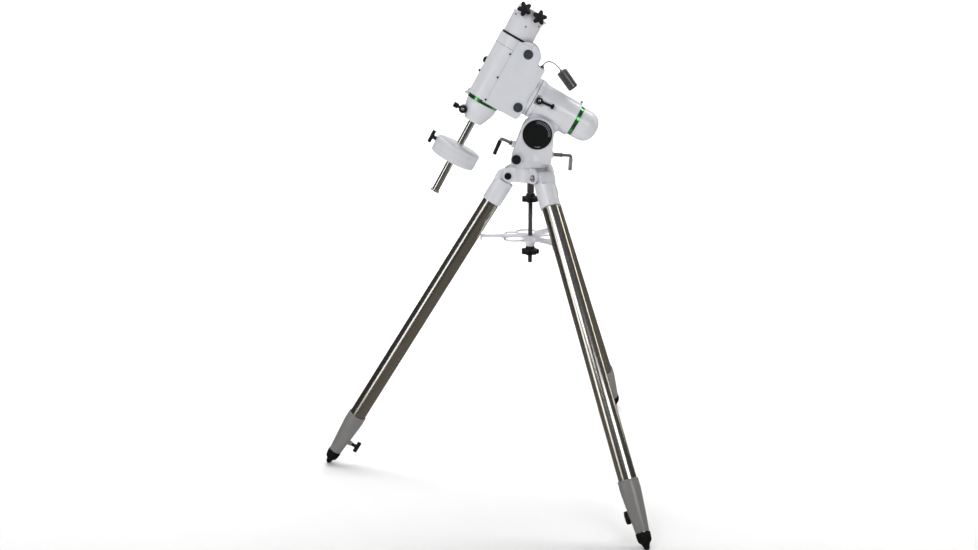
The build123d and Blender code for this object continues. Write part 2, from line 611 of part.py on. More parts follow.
def lamp_gland():
    foot = rod((90, LAMP_Y, 70), (90, LAMP_Y, 75.4), 2.5)
    collar = rod((90, LAMP_Y, 75.4), (90, LAMP_Y, 78), 4.8)
    nose = cone((90, LAMP_Y, 78), (90, LAMP_Y, 81), 3.6, 2.2)
    return HEAD * (foot + collar + nose)


def cord_radii(points):
    """Largest smooth corner radii that the runs allow."""
    radii = []
    for before, here, after in zip(points, points[1:], points[2:]):
        first = Vector(*here) - Vector(*before)
        second = Vector(*after) - Vector(*here)
        turn = math.radians(first.get_angle(second))
        radii.append(0.45 * min(first.length, second.length) / math.tan(turn / 2))
    return radii


def lamp_cord():
    points = [(x, LAMP_Y, z) for x, z in CORD_ROUTE]
    radii = cord_radii(points)
    print("cord corner radii", [round(radius, 1) for radius in radii])
    path = FilletPolyline(*points, radius=radii)
    section = Plane(origin=path @ 0, z_dir=path % 0) * Circle(CORD_RADIUS)
    cord = sweep(section, path=path)
    ratio = cord.volume / (math.pi * CORD_RADIUS**2 * path.length)
    print("cord length", round(path.length, 1), "volume ratio", round(ratio, 4))
    return HEAD * cord


def lamp_housing():
    """Barrel of the polar finder's lamp, hanging on its cord."""
    last = Vector(CORD_ROUTE[-1][0], LAMP_Y, CORD_ROUTE[-1][1])
    before = Vector(CORD_ROUTE[-2][0], LAMP_Y, CORD_ROUTE[-2][1])
    frame = Plane(origin=last, z_dir=last - before)
    profile = lathe([
        (0, 0), (3.2, 0), (4.4, 2.4), (LAMP_RADIUS - 1, 3.2), (LAMP_RADIUS, 4.7), (LAMP_RADIUS, 38),
        (LAMP_RADIUS - 0.6, 39), (LAMP_RADIUS - 0.6, LAMP_LENGTH - 2), (LAMP_RADIUS - 2, LAMP_LENGTH),
        (0, LAMP_LENGTH),
    ])
    return HEAD * (frame * profile)


# ---------------------------------------------------------------- saddle group (head frame)
def dec_shaft():
    stem = rod((0, 0, -80), (0, 0, 113), DEC_SHAFT_RADIUS)
    return HEAD * (stem - rod((0, 0, -81), (0, 0, -35), WEIGHT_SHAFT_RADIUS + RUN_GAP))


def dec_seal_ring():
    return HEAD * tube((0, 0, DEC_TOP + FACE_GAP), (0, 0, 112.5), SADDLE_RADIUS + 1.8, DEC_SHAFT_RADIUS)


def saddle():
    """Round head with a dovetail channel along the polar direction."""
    body = rod((0, 0, 112.5), (0, 0, 166), SADDLE_RADIUS) + rod((0, 0, 166), (0, 0, 181), SADDLE_RADIUS + 1.5)
    rim = rod((0, 0, 160), (0, 0, 200), SADDLE_RADIUS + 1.5)
    jaws = block((-36, -37, CHANNEL_FLOOR), (40, 37, SADDLE_TOP)) & rim
    stop = rod((33, 22, CHANNEL_FLOOR + 4), (47, 22, CHANNEL_FLOOR + 4), 4.0)
    body += jaws + stop
    mouth = SADDLE_TOP + 1
    channel = slab([(-22.5, CHANNEL_FLOOR), (22.5, CHANNEL_FLOOR), (17.5, mouth), (-17.5, mouth)], -50, 50)
    body -= Rot(0, 0, 90) * channel
    body -= rod((0, 0, 100), (0, 0, 113), DEC_SHAFT_RADIUS)
    for x in SADDLE_KNOBS.values():
        body -= rod((x, -45, KNOB_HEIGHT), (x, -15, KNOB_HEIGHT), 4.0 + RUN_GAP)
    body -= rod((4.8, -45, 145), (4.8, -32, 145), 1.8)
    return HEAD * body


def saddle_knob(x):
    """Clamp bolt with a five-lobed knob; its tip presses on the dovetail bar."""
    shank = rod((x, -20, KNOB_HEIGHT), (x, -46, KNOB_HEIGHT), 4.0)
    seat = Plane(origin=(x, -44, KNOB_HEIGHT), x_dir=(0, 0, 1), z_dir=(0, -1, 0))
    return HEAD * (shank + seat * star_knob(18.5, 11.5, 5, 13))


def dec_setting_circle():
    top = BARREL_BOTTOM - FACE_GAP
    ring = tube((0, 0, DEC_RING_BOTTOM), (0, 0, top), DEC_RING_RADIUS, DEC_SHAFT_RADIUS + RUN_GAP)
    return HEAD * ring


def shaft_nose():
    """Tapered nose below the declination circle that holds the counterweight shaft."""
    body = lathe([
        (0, NOSE_BOTTOM), (22.5, NOSE_BOTTOM), (24.5, NOSE_BOTTOM + 2), (31.8, -111), (37.4, -97),
        (40.2, -86), (41.0, NOSE_TOP), (0, NOSE_TOP),
    ])
    x, z = NOSE_LEVER
    body += block((x - 7, -9, z - 10), (-20, 9, z + 10))
    body -= rod((0, 0, -80), (0, 0, -70), DEC_SHAFT_RADIUS)
    body -= rod((0, 0, NOSE_BOTTOM - 2), (0, 0, -70), WEIGHT_SHAFT_RADIUS + RUN_GAP)
    body -= rod((x, -12, z), (x, 12, z), 3.0 + RUN_GAP)
    body -= rod((x, -9, z), (x, -40, z), 11.5)
    return HEAD * body


def shaft_lock_lever():
    """Lever that clamps the counterweight shaft in the nose."""
    x, z = NOSE_LEVER
    shank = rod((x, 8, z), (x, -12, z), 3.0)
    hub = rod((x, -9 - FACE_GAP, z), (x, -26, z), 10.5) - rod((x, -24.5, z), (x, -27, z), 5)
    arm = block((x - 14, -20, z - 3.5), (x - 4, -13, z + 3.5))
    grip = block((x - 27, -23, z - 6.5), (x - 13, -10, z + 6.5))
    return HEAD * (shank + hub + arm + grip)


def counterweight_shaft():
    bar = rod((0, 0, -100), (0, 0, SHAFT_END), WEIGHT_SHAFT_RADIUS)
    thread = rod((0, 0, SHAFT_END - 5), (0, 0, SHAFT_END), 11.5)
    return HEAD * (bar + thread)


def counterweight():
    half = WEIGHT_THICKNESS / 2
    body = rod((0, 0, WEIGHT_CENTRE - half), (0, 0, WEIGHT_CENTRE + half), WEIGHT_RADIUS)
    body = fillet(body.edges().filter_by(GeomType.CIRCLE), 5)
    body -= rod((0, 0, WEIGHT_CENTRE - 40), (0, 0, WEIGHT_CENTRE + 40), WEIGHT_SHAFT_RADIUS + RUN_GAP)
    body -= rod((-5, 0, WEIGHT_CENTRE + 8), (-80, 0, WEIGHT_CENTRE + 8), 4.0 + RUN_GAP)
    return HEAD * body


def counterweight_screw():
    """T-handled screw that grips the shaft through the weight's side."""
    height = WEIGHT_CENTRE + 8
    shank = rod((-WEIGHT_SHAFT_RADIUS - 0.3, 0, height), (-66, 0, height), 4.0)
    stem = rod((-60.5, 0, height), (-70, 0, height), 6.0)
    bar = rod((-73, 0, height - 13), (-73, 0, height + 13), 5.5)
    return HEAD * (shank + stem + bar)


# ---------------------------------------------------------------- write every node
save(tripod_hub(), "tripod_hub")
save(hinge_bolts(), "hinge_bolts")
save(centre_rod(), "centre_rod")
save(rod_knob(762.0), "mount_knob")
save(spreader(), "spreader")
save(rod_knob(SPREADER_TOP - 28.3), "spreader_knob")

for leg, angle in LEG_ANGLES.items():
    frame = leg_plane(angle)
    save(frame * leg_socket(), f"{leg}_leg_socket")
    save(frame * leg_tube(), f"{leg}_leg_tube")
    save(frame * leg_clamp(), f"{leg}_leg_clamp")
    save(frame * leg_extension(), f"{leg}_leg_extension")
    save(frame * leg_foot(), f"{leg}_leg_foot")
    save(frame * leg_lock_screw(), f"{leg}_leg_lock_screw")

save(azimuth_base(), "azimuth_base")
save(azimuth_knob(-1), "azimuth_knob_near")
save(azimuth_knob(1), "azimuth_knob_far")
save(latitude_bolt(FRONT_BOLT_TILT, -1, 97, 45), "latitude_bolt_front")
save(latitude_bolt(REAR_BOLT_TILT, 1, 91.5, 39), "latitude_bolt_rear")
save(altitude_pivot(), "altitude_pivot")
save(latitude_dials(), "latitude_dials")

save(ra_housing(), "ra_housing")
save(ra_setting_circle(), "ra_setting_circle")
save(ra_circle_screw(), "ra_circle_screw")
save(ra_lock_lever(), "ra_lock_lever")
save(polar_scope_cap(), "polar_scope_cap")

save(ra_shaft(), "ra_shaft")
save(polar_scope(), "polar_scope")
save(dec_housing(), "dec_housing")
save(motor_cover(), "motor_cover")
save(housing_screws(), "housing_screws")
save(cover_plugs(), "cover_plugs")
save(port_panel(), "port_panel")
save(drive_motors(), "drive_motors")
save(worm_drives(), "worm_drives")
save(dec_lock_lever(), "dec_lock_lever")
save(lamp_gland(), "lamp_gland")
save(lamp_cord(), "lamp_cord")
save(lamp_housing(), "lamp_housing")

save(dec_shaft(), "dec_shaft")
save(dec_seal_ring(), "dec_seal_ring")
save(saddle(), "saddle")
for name, place in SADDLE_KNOBS.items():
    save(saddle_knob(place), f"saddle_knob_{name}")
save(dec_setting_circle(), "dec_setting_circle")
save(shaft_nose(), "shaft_nose")
save(shaft_lock_lever(), "shaft_lock_lever")
save(counterweight_shaft(), "counterweight_shaft")
save(counterweight(), "counterweight")
save(counterweight_screw(), "counterweight_screw")
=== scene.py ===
import bmesh
import bpy
import json
import math
from mathutils import Matrix, Vector

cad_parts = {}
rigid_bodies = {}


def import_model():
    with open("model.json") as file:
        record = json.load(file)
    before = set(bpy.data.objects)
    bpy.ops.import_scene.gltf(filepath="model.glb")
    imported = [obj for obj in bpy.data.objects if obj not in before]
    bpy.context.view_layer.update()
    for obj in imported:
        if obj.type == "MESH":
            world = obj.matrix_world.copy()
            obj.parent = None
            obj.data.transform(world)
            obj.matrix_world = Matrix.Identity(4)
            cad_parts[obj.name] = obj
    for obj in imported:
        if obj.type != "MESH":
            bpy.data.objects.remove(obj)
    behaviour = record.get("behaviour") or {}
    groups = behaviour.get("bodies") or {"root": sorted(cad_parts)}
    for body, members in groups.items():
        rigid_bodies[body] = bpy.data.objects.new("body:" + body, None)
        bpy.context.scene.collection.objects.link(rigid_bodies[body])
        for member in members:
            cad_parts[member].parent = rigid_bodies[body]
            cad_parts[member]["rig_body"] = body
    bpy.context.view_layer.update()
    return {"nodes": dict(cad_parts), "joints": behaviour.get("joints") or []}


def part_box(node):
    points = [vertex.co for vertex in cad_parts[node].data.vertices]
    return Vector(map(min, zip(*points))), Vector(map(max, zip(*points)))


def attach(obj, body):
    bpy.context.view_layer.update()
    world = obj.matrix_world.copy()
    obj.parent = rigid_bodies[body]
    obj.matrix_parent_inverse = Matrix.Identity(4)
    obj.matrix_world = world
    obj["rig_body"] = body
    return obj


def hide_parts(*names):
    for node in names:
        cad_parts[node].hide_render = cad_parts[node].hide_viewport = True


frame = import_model()

# Lengths in the piece functions are millimetres; TO_METRES takes them to the frame's unit.
TO_METRES = Matrix.Scale(0.001, 4)
LEGS = ("left", "front", "rear")
TURN = 2 * math.pi
joints = {joint["name"]: joint for joint in frame["joints"]}
IN_PLACE = Matrix.Identity(4)

# CAD sizes that the pieces repeat, in millimetres.
TUBE_RADIUS = 22.25
TUBE_BORE = 21.0
EXTENSION_RADIUS = 15.0
EXTENSION_BORE = 13.5
TIP_RADIUS = 6.5
CLAMP_END = -908.0        # places along a leg, down from its hinge pin
LOCK_SCREW = -868.0
HUB_CHEEK = 27.5          # outer face of a hub cheek, along the hinge pin
LUG = (12.0, 0.0, 866.0)
DIAL_RADIUS = 37.5
DIAL_BACK = 46.0
DIAL_FACE = 49.0
DEC_RADIUS = 44.0
COVER_FACE = 45.6
PLUGS = ((43.0, 88.7), (84.0, -38.0))
CIRCLE_SCREW_Z = -70.2
NOSE_LEVER = (-36.0, -111.0)


# ---------------------------------------------------------------- places, from the frame
def axes(origin, x_dir, z_dir):
    """Matrix of a right-handed frame with the given x and z directions."""
    x = Vector(x_dir).normalized()
    z = Vector(z_dir).normalized()
    y = z.cross(x)
    matrix = Matrix((x, y, z)).transposed().to_4x4()
    matrix.translation = Vector(origin)
    return matrix


polar = joints["polar_axis"]
declination = joints["declination_axis"]
# Head frame: x down the polar axis, z along the declination axis up to the saddle.
HEAD = axes(polar["pos_m"], [-v for v in polar["axis"]], declination["axis"])
PIVOT = Vector(joints["altitude"]["pos_m"])


def leg_frame(leg):
    """Leg frame at the hinge pin: z back up the leg, x outward."""
    down = Vector(joints[f"{leg}_leg_extend"]["axis"])
    pin = Vector(joints[f"{leg}_leg_fold"]["axis"])
    return axes(joints[f"{leg}_leg_fold"]["pos_m"], pin.cross(-down), -down)


# ---------------------------------------------------------------- camera
CAMERA_PLACE = (-0.01655, -2.87288, 1.25830)
CAMERA_LOOK = (-0.03095, 0.96982, -0.24185)
camera = bpy.data.objects.new("camera", bpy.data.cameras.new("camera"))
bpy.context.scene.collection.objects.link(camera)
camera.location = CAMERA_PLACE
camera.rotation_mode = "QUATERNION"
camera.rotation_quaternion = Vector(CAMERA_LOOK).to_track_quat("-Z", "Y")
camera.data.sensor_width = 36.0
camera.data.lens = 41.08
bpy.context.scene.camera = camera

# ---------------------------------------------------------------- the lamp's cord
LAMP_Y = -8.0
CORD_WIDTH = 3.0
# Cord route in the head frame, along the polar axis and along the declination axis.
CORD_ROUTE = [
    (90.0, 81.0), (90.5, 87.6), (93.8, 93.9), (100.2, 98.3), (109.4, 99.6),
    (118.2, 98.6), (126.6, 96.4), (134.3, 92.8),
]


def make_cord():
    curve = bpy.data.curves.new("lamp_flex", "CURVE")
    curve.dimensions = "3D"
    curve.bevel_depth = CORD_WIDTH / 2000
    curve.bevel_resolution = 5
    curve.resolution_u = 16
    curve.use_fill_caps = True
    spline = curve.splines.new("NURBS")
    spline.points.add(len(CORD_ROUTE) - 1)
    for point, (x, z) in zip(spline.points, CORD_ROUTE):
        point.co = (*(HEAD @ (Vector((x, LAMP_Y, z)) * 0.001)), 1)
    spline.order_u = 3
    spline.use_endpoint_u = True
    cord = bpy.data.objects.new("lamp_flex", curve)
    bpy.context.scene.collection.objects.link(cord)
    return cord


lamp_flex = make_cord()


# ---------------------------------------------------------------- materials
class Nodes:
    """A material's node tree with short calls for the nodes used here."""

    def __init__(self, name, metallic=0.0):
        self.material = bpy.data.materials.new(name)
        self.material.use_nodes = True
        self.tree = self.material.node_tree
        self.shader = self.tree.nodes["Principled BSDF"]
        self.shader.inputs["Metallic"].default_value = metallic
        self.place = self.add("ShaderNodeTexCoord").outputs["Object"]

    def add(self, kind, **settings):
        node = self.tree.nodes.new(kind)
        for key, value in settings.items():
            setattr(node, key, value)
        return node

    def link(self, source, target):
        self.tree.links.new(source, target)

    def stretched(self, scale):
        """Coordinates scaled differently along each axis."""
        mapping = self.add("ShaderNodeMapping")
        mapping.inputs["Scale"].default_value = scale
        self.link(self.place, mapping.inputs["Vector"])
        return mapping.outputs["Vector"]

    def noise(self, scale, detail=3.0, roughness=0.55, vector=None):
        node = self.add("ShaderNodeTexNoise")
        node.inputs["Scale"].default_value = scale
        node.inputs["Detail"].default_value = detail
        node.inputs["Roughness"].default_value = roughness
        self.link(vector or self.place, node.inputs["Vector"])
        return node.outputs["Fac"]

    def ramp(self, factor, stops):
        node = self.add("ShaderNodeValToRGB")
        elements = node.color_ramp.elements
        while len(elements) < len(stops):
            elements.new(0.5)
        for element, (position, colour) in zip(elements, stops):
            element.position = position
            element.color = (*colour, 1)
        self.link(factor, node.inputs["Fac"])
        return node.outputs["Color"]

    def span(self, factor, low, high, start=0.3, end=0.7):
        """A value from low to high as the factor goes from start to end."""
        node = self.add("ShaderNodeMapRange")
        node.inputs["From Min"].default_value = start
        node.inputs["From Max"].default_value = end
        node.inputs["To Min"].default_value = low
        node.inputs["To Max"].default_value = high
        self.link(factor, node.inputs["Value"])
        return node.outputs["Result"]

    def mix(self, factor, first, second, blend="MIX"):
        """Two colours put together; each input is a socket or a plain value."""
        node = self.add("ShaderNodeMix", data_type="RGBA", blend_type=blend)
        colours = [socket for socket in node.inputs if socket.type == "RGBA"]
        for source, socket in ((factor, node.inputs["Factor"]), (first, colours[0]), (second, colours[1])):
            if isinstance(source, tuple):
                socket.default_value = (*source, 1)
            elif isinstance(source, float):
                socket.default_value = source
            else:
                self.link(source, socket)
        return next(socket for socket in node.outputs if socket.type == "RGBA")

    def crevices(self, reach):
        """1 in the open and 0 deep in a corner."""
        node = self.add("ShaderNodeAmbientOcclusion", samples=8)
        node.inputs["Distance"].default_value = reach
        return node.outputs["AO"]

    def bump(self, layers, edge=0.0):
        """Bumps stacked on each other, over edges rounded by edge metres."""
        normal = None
        if edge:
            rounded = self.add("ShaderNodeBevel", samples=4)
            rounded.inputs["Radius"].default_value = edge
            normal = rounded.outputs["Normal"]
        for factor, strength, depth in layers:
            node = self.add("ShaderNodeBump")
            node.inputs["Strength"].default_value = strength
            node.inputs["Distance"].default_value = depth
            self.link(factor, node.inputs["Height"])
            if normal:
                self.link(normal, node.inputs["Normal"])
            normal = node.outputs["Normal"]
        self.link(normal, self.shader.inputs["Normal"])


def scaled(colour, share):
    return tuple(channel * share for channel in colour)


def paint(name, colour, roughness=0.34, coat=0.35, edge=0.0008, texture=0.12):
    """Satin paint on a casting: orange peel, faint mottling and painted shade that darkens the corners."""
    m = Nodes(name)
    mottled = m.ramp(m.noise(38, 4), [(0.3, scaled(colour, 0.965)), (0.7, colour)])
    # Painted shade: ambient occlusion darkens the colour to 80% in corners and creases.
    painted_corner_shade = m.mix(m.span(m.crevices(0.012), 0.0, 1.0, 0.25, 0.95), scaled(colour, 0.80), (1.0, 1.0, 1.0))
    m.link(m.mix(1.0, mottled, painted_corner_shade, "MULTIPLY"), m.shader.inputs["Base Color"])
    m.link(m.span(m.noise(120, 3), roughness - 0.05, roughness + 0.07), m.shader.inputs["Roughness"])
    m.shader.inputs["Coat Weight"].default_value = coat
    m.shader.inputs["Coat Roughness"].default_value = 0.12
    m.bump([(m.noise(900, 2), texture, 0.0002), (m.noise(90, 2), texture * 0.5, 0.0006)], edge)
    return m.material


def steel(name, colour, roughness, scratch_scale, depth=0.00004, edge=0.0003):
    """Polished or brushed metal with fine lines along the piece's own z axis."""
    m = Nodes(name, metallic=1.0)
    lines = m.noise(1.0, 4, 0.7, m.stretched(scratch_scale))
    smudged = m.ramp(m.noise(14, 3), [(0.25, scaled(colour, 0.9)), (0.75, colour)])
    m.link(smudged, m.shader.inputs["Base Color"])
    m.link(m.span(lines, roughness * 0.75, roughness * 1.35), m.shader.inputs["Roughness"])
    m.bump([(lines, 0.25, depth)], edge)
    return m.material


def plastic(name, colour, roughness=0.42, grain=1400, depth=0.00006, edge=0.0005, sheen=0.35):
    """Moulded plastic with a fine spark-eroded grain and slightly polished high spots."""
    m = Nodes(name)
    m.shader.inputs["Specular IOR Level"].default_value = sheen
    worn = m.noise(60, 4)
    faded = m.ramp(worn, [(0.3, scaled(colour, 0.75)), (0.75, scaled(colour, 1.35))])
    m.link(faded, m.shader.inputs["Base Color"])
    m.link(m.span(worn, roughness + 0.08, roughness - 0.06), m.shader.inputs["Roughness"])
    m.bump([(m.noise(grain, 2), 0.35, depth)], edge)
    return m.material


def anodised(name, colour):
    """Dyed anodised aluminium: turned rings under a clear glossy layer."""
    m = Nodes(name, metallic=1.0)
    rings = m.noise(1.0, 3, 0.6, m.stretched((60, 60, 4000)))
    dyed = m.ramp(rings, [(0.3, scaled(colour, 0.82)), (0.7, scaled(colour, 1.12))])
    m.link(dyed, m.shader.inputs["Base Color"])
    m.link(m.span(rings, 0.2, 0.3), m.shader.inputs["Roughness"])
    m.shader.inputs["Coat Weight"].default_value = 0.4
    m.shader.inputs["Coat Roughness"].default_value = 0.08
    m.bump([(rings, 0.2, 0.00003)], 0.0003)
    return m.material


def floor_finish():
    m = Nodes("studio_floor")
    pale = m.ramp(m.noise(3, 4), [(0.3, (0.90, 0.90, 0.90)), (0.7, (0.93, 0.93, 0.93))])
    m.link(pale, m.shader.inputs["Base Color"])
    m.shader.inputs["Roughness"].default_value = 0.7
    return m.material


WHITE = paint("white_paint", (0.79, 0.80, 0.84))
COVER = paint("cover_paint", (0.76, 0.78, 0.83), roughness=0.38, edge=0.0005)
CLAMP = paint("clamp_paint", (0.215, 0.213, 0.207), roughness=0.40, texture=0.2)
IRON = paint("weight_paint", (0.76, 0.77, 0.80), roughness=0.36, texture=0.25)
TUBE = steel("leg_steel", (0.52, 0.50, 0.46), 0.21, (900, 900, 3))
BAR = steel("bar_steel", (0.60, 0.60, 0.59), 0.14, (700, 700, 8))
BOLT = steel("bolt_steel", (0.60, 0.60, 0.61), 0.28, (300, 300, 300))
ROD = steel("rod_steel", (0.20, 0.195, 0.185), 0.30, (60, 60, 5000), 0.0003)
HANDLE_GREY = steel("handle_steel", (0.24, 0.24, 0.25), 0.38, (500, 500, 500))
# Grey for the rear latitude sleeve: painted reflection, a lit copy of the front sleeve's black.
REFLECTION_GREY_SLEEVE = plastic("sleeve_painted_reflection_grey", (0.26, 0.26, 0.25), roughness=0.45)
BLACK = plastic("black_plastic", (0.006, 0.006, 0.0065))
LEVER = plastic("lever_black", (0.005, 0.005, 0.0055), roughness=0.3, grain=500)
DARK = plastic("dark_metal", (0.006, 0.0065, 0.0075), roughness=0.36, grain=700, sheen=0.25)
GREY = plastic("grey_plastic", (0.040, 0.047, 0.056), roughness=0.46)
LAMP = plastic("lamp_plastic", (0.048, 0.048, 0.050), roughness=0.30, grain=500, sheen=0.8)
RUBBER = plastic("black_rubber", (0.004, 0.004, 0.003), roughness=0.72, grain=500, depth=0.0002, sheen=0.2)
FLEX = plastic("cord_sheath", (0.030, 0.030, 0.032), roughness=0.5, grain=900)
GREEN = anodised("green_anodised", (0.10, 0.42, 0.13))
MARKS = plastic("scale_marks", (0.46, 0.48, 0.54), roughness=0.5)
SCALE_BAND = plastic("scale_band", (0.035, 0.042, 0.060), roughness=0.4)
BRASS = steel("brass", (0.78, 0.58, 0.26), 0.25, (400, 400, 400))
# Finishes with lines along one axis.
DIRECTIONAL = (TUBE, BAR, ROD, GREEN)


# ---------------------------------------------------------------- mesh helpers
def new_object(name, mesh, matrix, body, material, replaced=()):
    """Link a finished mesh, made in millimetres, as a piece of the model.

    A directional finish needs the piece's own axes, so that piece keeps its matrix.
    """
    mesh.transform(TO_METRES)
    piece = bpy.data.objects.new(name, mesh)
    bpy.context.scene.collection.objects.link(piece)
    if material in DIRECTIONAL:
        piece.matrix_world = matrix
    else:
        mesh.transform(matrix)
    mesh.materials.clear()
    mesh.materials.append(material)
    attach(piece, body)
    if replaced:
        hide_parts(*replaced)
    return piece


def to_mesh(name, bm, smooth_angle=35.0):
    """Mesh with smooth shading except over sharp edges."""
    bmesh.ops.recalc_face_normals(bm, faces=bm.faces)
    limit = math.radians(smooth_angle)
    for face in bm.faces:
        face.smooth = True
    for edge in bm.edges:
        edge.smooth = len(edge.link_faces) == 2 and edge.calc_face_angle(0) < limit
    mesh = bpy.data.meshes.new(name)
    bm.to_mesh(mesh)
    bm.free()
    return mesh


def softened(profile, radius, steps=4):
    """Outline in two coordinates with its corners rounded; the ends stay."""
    points = [Vector(profile[0])]
    for before, corner, after in zip(profile, profile[1:], profile[2:]):
        here = Vector(corner)
        into = Vector(before) - here
        out = Vector(after) - here
        reach = min(radius, into.length * 0.45, out.length * 0.45)
        start = here + into.normalized() * reach
        end = here + out.normalized() * reach
        for step in range(steps + 1):
            t = step / steps
            points.append(start * (1 - t) ** 2 + here * 2 * t * (1 - t) + end * t ** 2)
    points.append(Vector(profile[-1]))
    return [tuple(point) for point in points]


def quarter(steps, first=0):
    """Angles of a quarter turn in equal steps."""
    return [math.pi / 2 * step / steps for step in range(first, steps + 1)]


def moved(bm, verts, matrix):
    if matrix:
        bmesh.ops.transform(bm, matrix=matrix, verts=verts)


def turned(bm, profile, steps=72, matrix=None):
    """Add an outline in radius and height, turned about z."""
    rings = []
    for radius, height in profile:
        if radius < 1e-6:
            rings.append([bm.verts.new((0, 0, height))])
        else:
            angles = [TURN * i / steps for i in range(steps)]
            rings.append([
                bm.verts.new((radius * math.cos(angle), radius * math.sin(angle), height)) for angle in angles
            ])
    for low, high in zip(rings, rings[1:]):
        for i in range(steps):
            j = (i + 1) % steps
            corners = [low[i % len(low)], low[j % len(low)], high[j % len(high)], high[i % len(high)]]
            unique = list(dict.fromkeys(corners))
            if len(unique) > 2:
                bm.faces.new(unique)
    for ring in (rings[0], rings[-1]):
        if len(ring) > 1 and profile[0] != profile[-1]:
            bm.faces.new(ring)
    if profile[0] == profile[-1] and len(rings[0]) > 1:
        bmesh.ops.remove_doubles(bm, verts=rings[0] + rings[-1], dist=1e-5)
    moved(bm, [vert for ring in rings for vert in ring if vert.is_valid], matrix)


def skinned(bm, rings):
    """Close rings of equal length into a solid with flat ends."""
    steps = len(rings[0])
    for low, high in zip(rings, rings[1:]):
        for i in range(steps):
            j = (i + 1) % steps
            bm.faces.new((low[i], low[j], high[j], high[i]))
    bm.faces.new(rings[0])
    bm.faces.new(rings[-1])


def block(bm, low, high, round_by=0.8, matrix=None):
    """Add a box with rounded edges."""
    made = bmesh.ops.create_cube(bm, size=1)["verts"]
    size = Vector(high) - Vector(low)
    centre = (Vector(high) + Vector(low)) / 2
    bmesh.ops.transform(bm, matrix=Matrix.Translation(centre) @ Matrix.Diagonal((*size, 1)), verts=made)
    edges = list({edge for vert in made for edge in vert.link_edges})
    result = bmesh.ops.bevel(bm, geom=edges, offset=round_by, segments=3, profile=0.5, affect="EDGES")
    made = list({vert for face in result["faces"] for vert in face.verts})
    moved(bm, list({v for vert in made for face in vert.link_faces for v in face.verts}), matrix)


def lobed(bm, outline, layers, matrix=None, steps=120):
    """Add a closed solid from layers of one outline: (height, share of the radius)."""
    rings = []
    for height, share in layers:
        ring = []
        for i in range(steps):
            angle = TURN * i / steps
            radius = outline(angle) * share
            ring.append(bm.verts.new((radius * math.cos(angle), radius * math.sin(angle), height)))
        rings.append(ring)
    skinned(bm, rings)
    moved(bm, [vert for ring in rings for vert in ring], matrix)


def shift(x, y, z, x_dir=(1, 0, 0), z_dir=(0, 0, 1)):
    """Matrix in millimetres for a sub-shape."""
    return axes((x, y, z), x_dir, z_dir)


def rounded_copy(node, width, material, segments=3, angle=32.0):
    """A CAD casting with its sharp edges rounded, in the CAD node's own place."""
    source = frame["nodes"][node]
    body = source["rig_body"]
    bm = bmesh.new()
    bm.from_mesh(source.data)
    bmesh.ops.remove_doubles(bm, verts=bm.verts, dist=2e-6)
    bmesh.ops.dissolve_limit(
        bm, angle_limit=math.radians(0.6), verts=bm.verts, edges=bm.edges, delimit=set())
    limit = math.radians(angle)
    sharp = [edge for edge in bm.edges if len(edge.link_faces) == 2 and edge.calc_face_angle(0) > limit]
    bmesh.ops.bevel(
        bm, geom=sharp, offset=width * 0.001, segments=segments, profile=0.6, affect="EDGES",
        clamp_overlap=True, harden_normals=False)
    mesh = to_mesh(f"{node}_shell", bm, 30.0)
    mesh.materials.append(material)
    piece = bpy.data.objects.new(f"{node}_shell", mesh)
    bpy.context.scene.collection.objects.link(piece)
    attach(piece, body)
    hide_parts(node)
    return piece


def keep_node(node, material):
    """A CAD node that stays, with its finish."""
    source = frame["nodes"][node]
    source.data.materials.clear()
    source.data.materials.append(material)


# ---------------------------------------------------------------- shapes that repeat
def stand_in(name, build, matrix, node, material, more=()):
    """A detailed piece, built by build(bm), that replaces a CAD node (and any more nodes)."""
    bm = bmesh.new()
    build(bm)
    body = frame["nodes"][node]["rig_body"]
    return new_object(name, to_mesh(name, bm), matrix, body, material, (node, *more))


def added(name, build, matrix, node, material):
    """A detail that rides with a CAD node's body and replaces nothing."""
    bm = bmesh.new()
    build(bm)
    return new_object(name, to_mesh(name, bm), matrix, frame["nodes"][node]["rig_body"], material)


def star(inner, outer, lobes, sharpness=0.85, turn=0.0):
    """Radius of a lobed knob against angle, in degrees of turn."""
    def outline(angle):
        wave = (1 + math.cos(lobes * (angle - math.radians(turn)))) / 2
        return inner + (outer - inner) * wave ** sharpness
    return outline


def rounded_layers(low, high, radius, steps=5):
    """Layers of a lobed solid with rounded upper and lower rims, as shares of its radius."""
    pull = 0.10
    turns = quarter(steps)
    lower = [(low + radius * (1 - math.cos(turn)), 1 - pull * (1 - math.sin(turn))) for turn in turns]
    upper = [(high - radius * (1 - math.sin(turn)), 1 - pull * (1 - math.cos(turn))) for turn in turns]
    return lower + upper


def swept(bm, points, radius, steps=20):
    """Round bar along points that lie in the x-z plane."""
    rings = []
    for index, point in enumerate(points):
        before = Vector(points[max(index - 1, 0)])
        after = Vector(points[min(index + 1, len(points) - 1)])
        along = (after - before).normalized()
        across = Vector((along.z, 0, -along.x))
        ring = []
        for i in range(steps):
            angle = TURN * i / steps
            offset = across * math.cos(angle) + Vector((0, 1, 0)) * math.sin(angle)
            ring.append(bm.verts.new(Vector(point) + offset * radius))
        rings.append(ring)
    skinned(bm, rings)


def cylinder(radius, low, high, edge=0.6):
    """Profile of a solid round with softened rims."""
    return softened([(0, low), (radius, low), (radius, high), (0, high)], edge)


def ring_profile(inner, outer, low, high, edge=0.5):
    """Closed profile of a ring with softened rims."""
    middle = (low + high) / 2
    path = [(inner, middle), (inner, high), (outer, high), (outer, low), (inner, low), (inner, middle)]
    return softened(path, edge)


def hexagon(bm, radius, low, high, matrix=None):
    """Hexagonal prism with a small chamfer at its top."""
    def outline(angle):
        sector = (angle % (TURN / 6)) - TURN / 12
        return radius * math.cos(TURN / 12) / math.cos(sector)
    lobed(bm, outline, [(low, 1), (high - 0.5, 1), (high, 0.93)], matrix, steps=60)


def socket_head(radius, height, socket):
    """Profile of a screw head with a round recess."""
    return softened([
        (0, 0), (radius, 0), (radius, height), (socket, height), (socket * 0.9, height * 0.45),
        (0, height * 0.40)], 0.25)


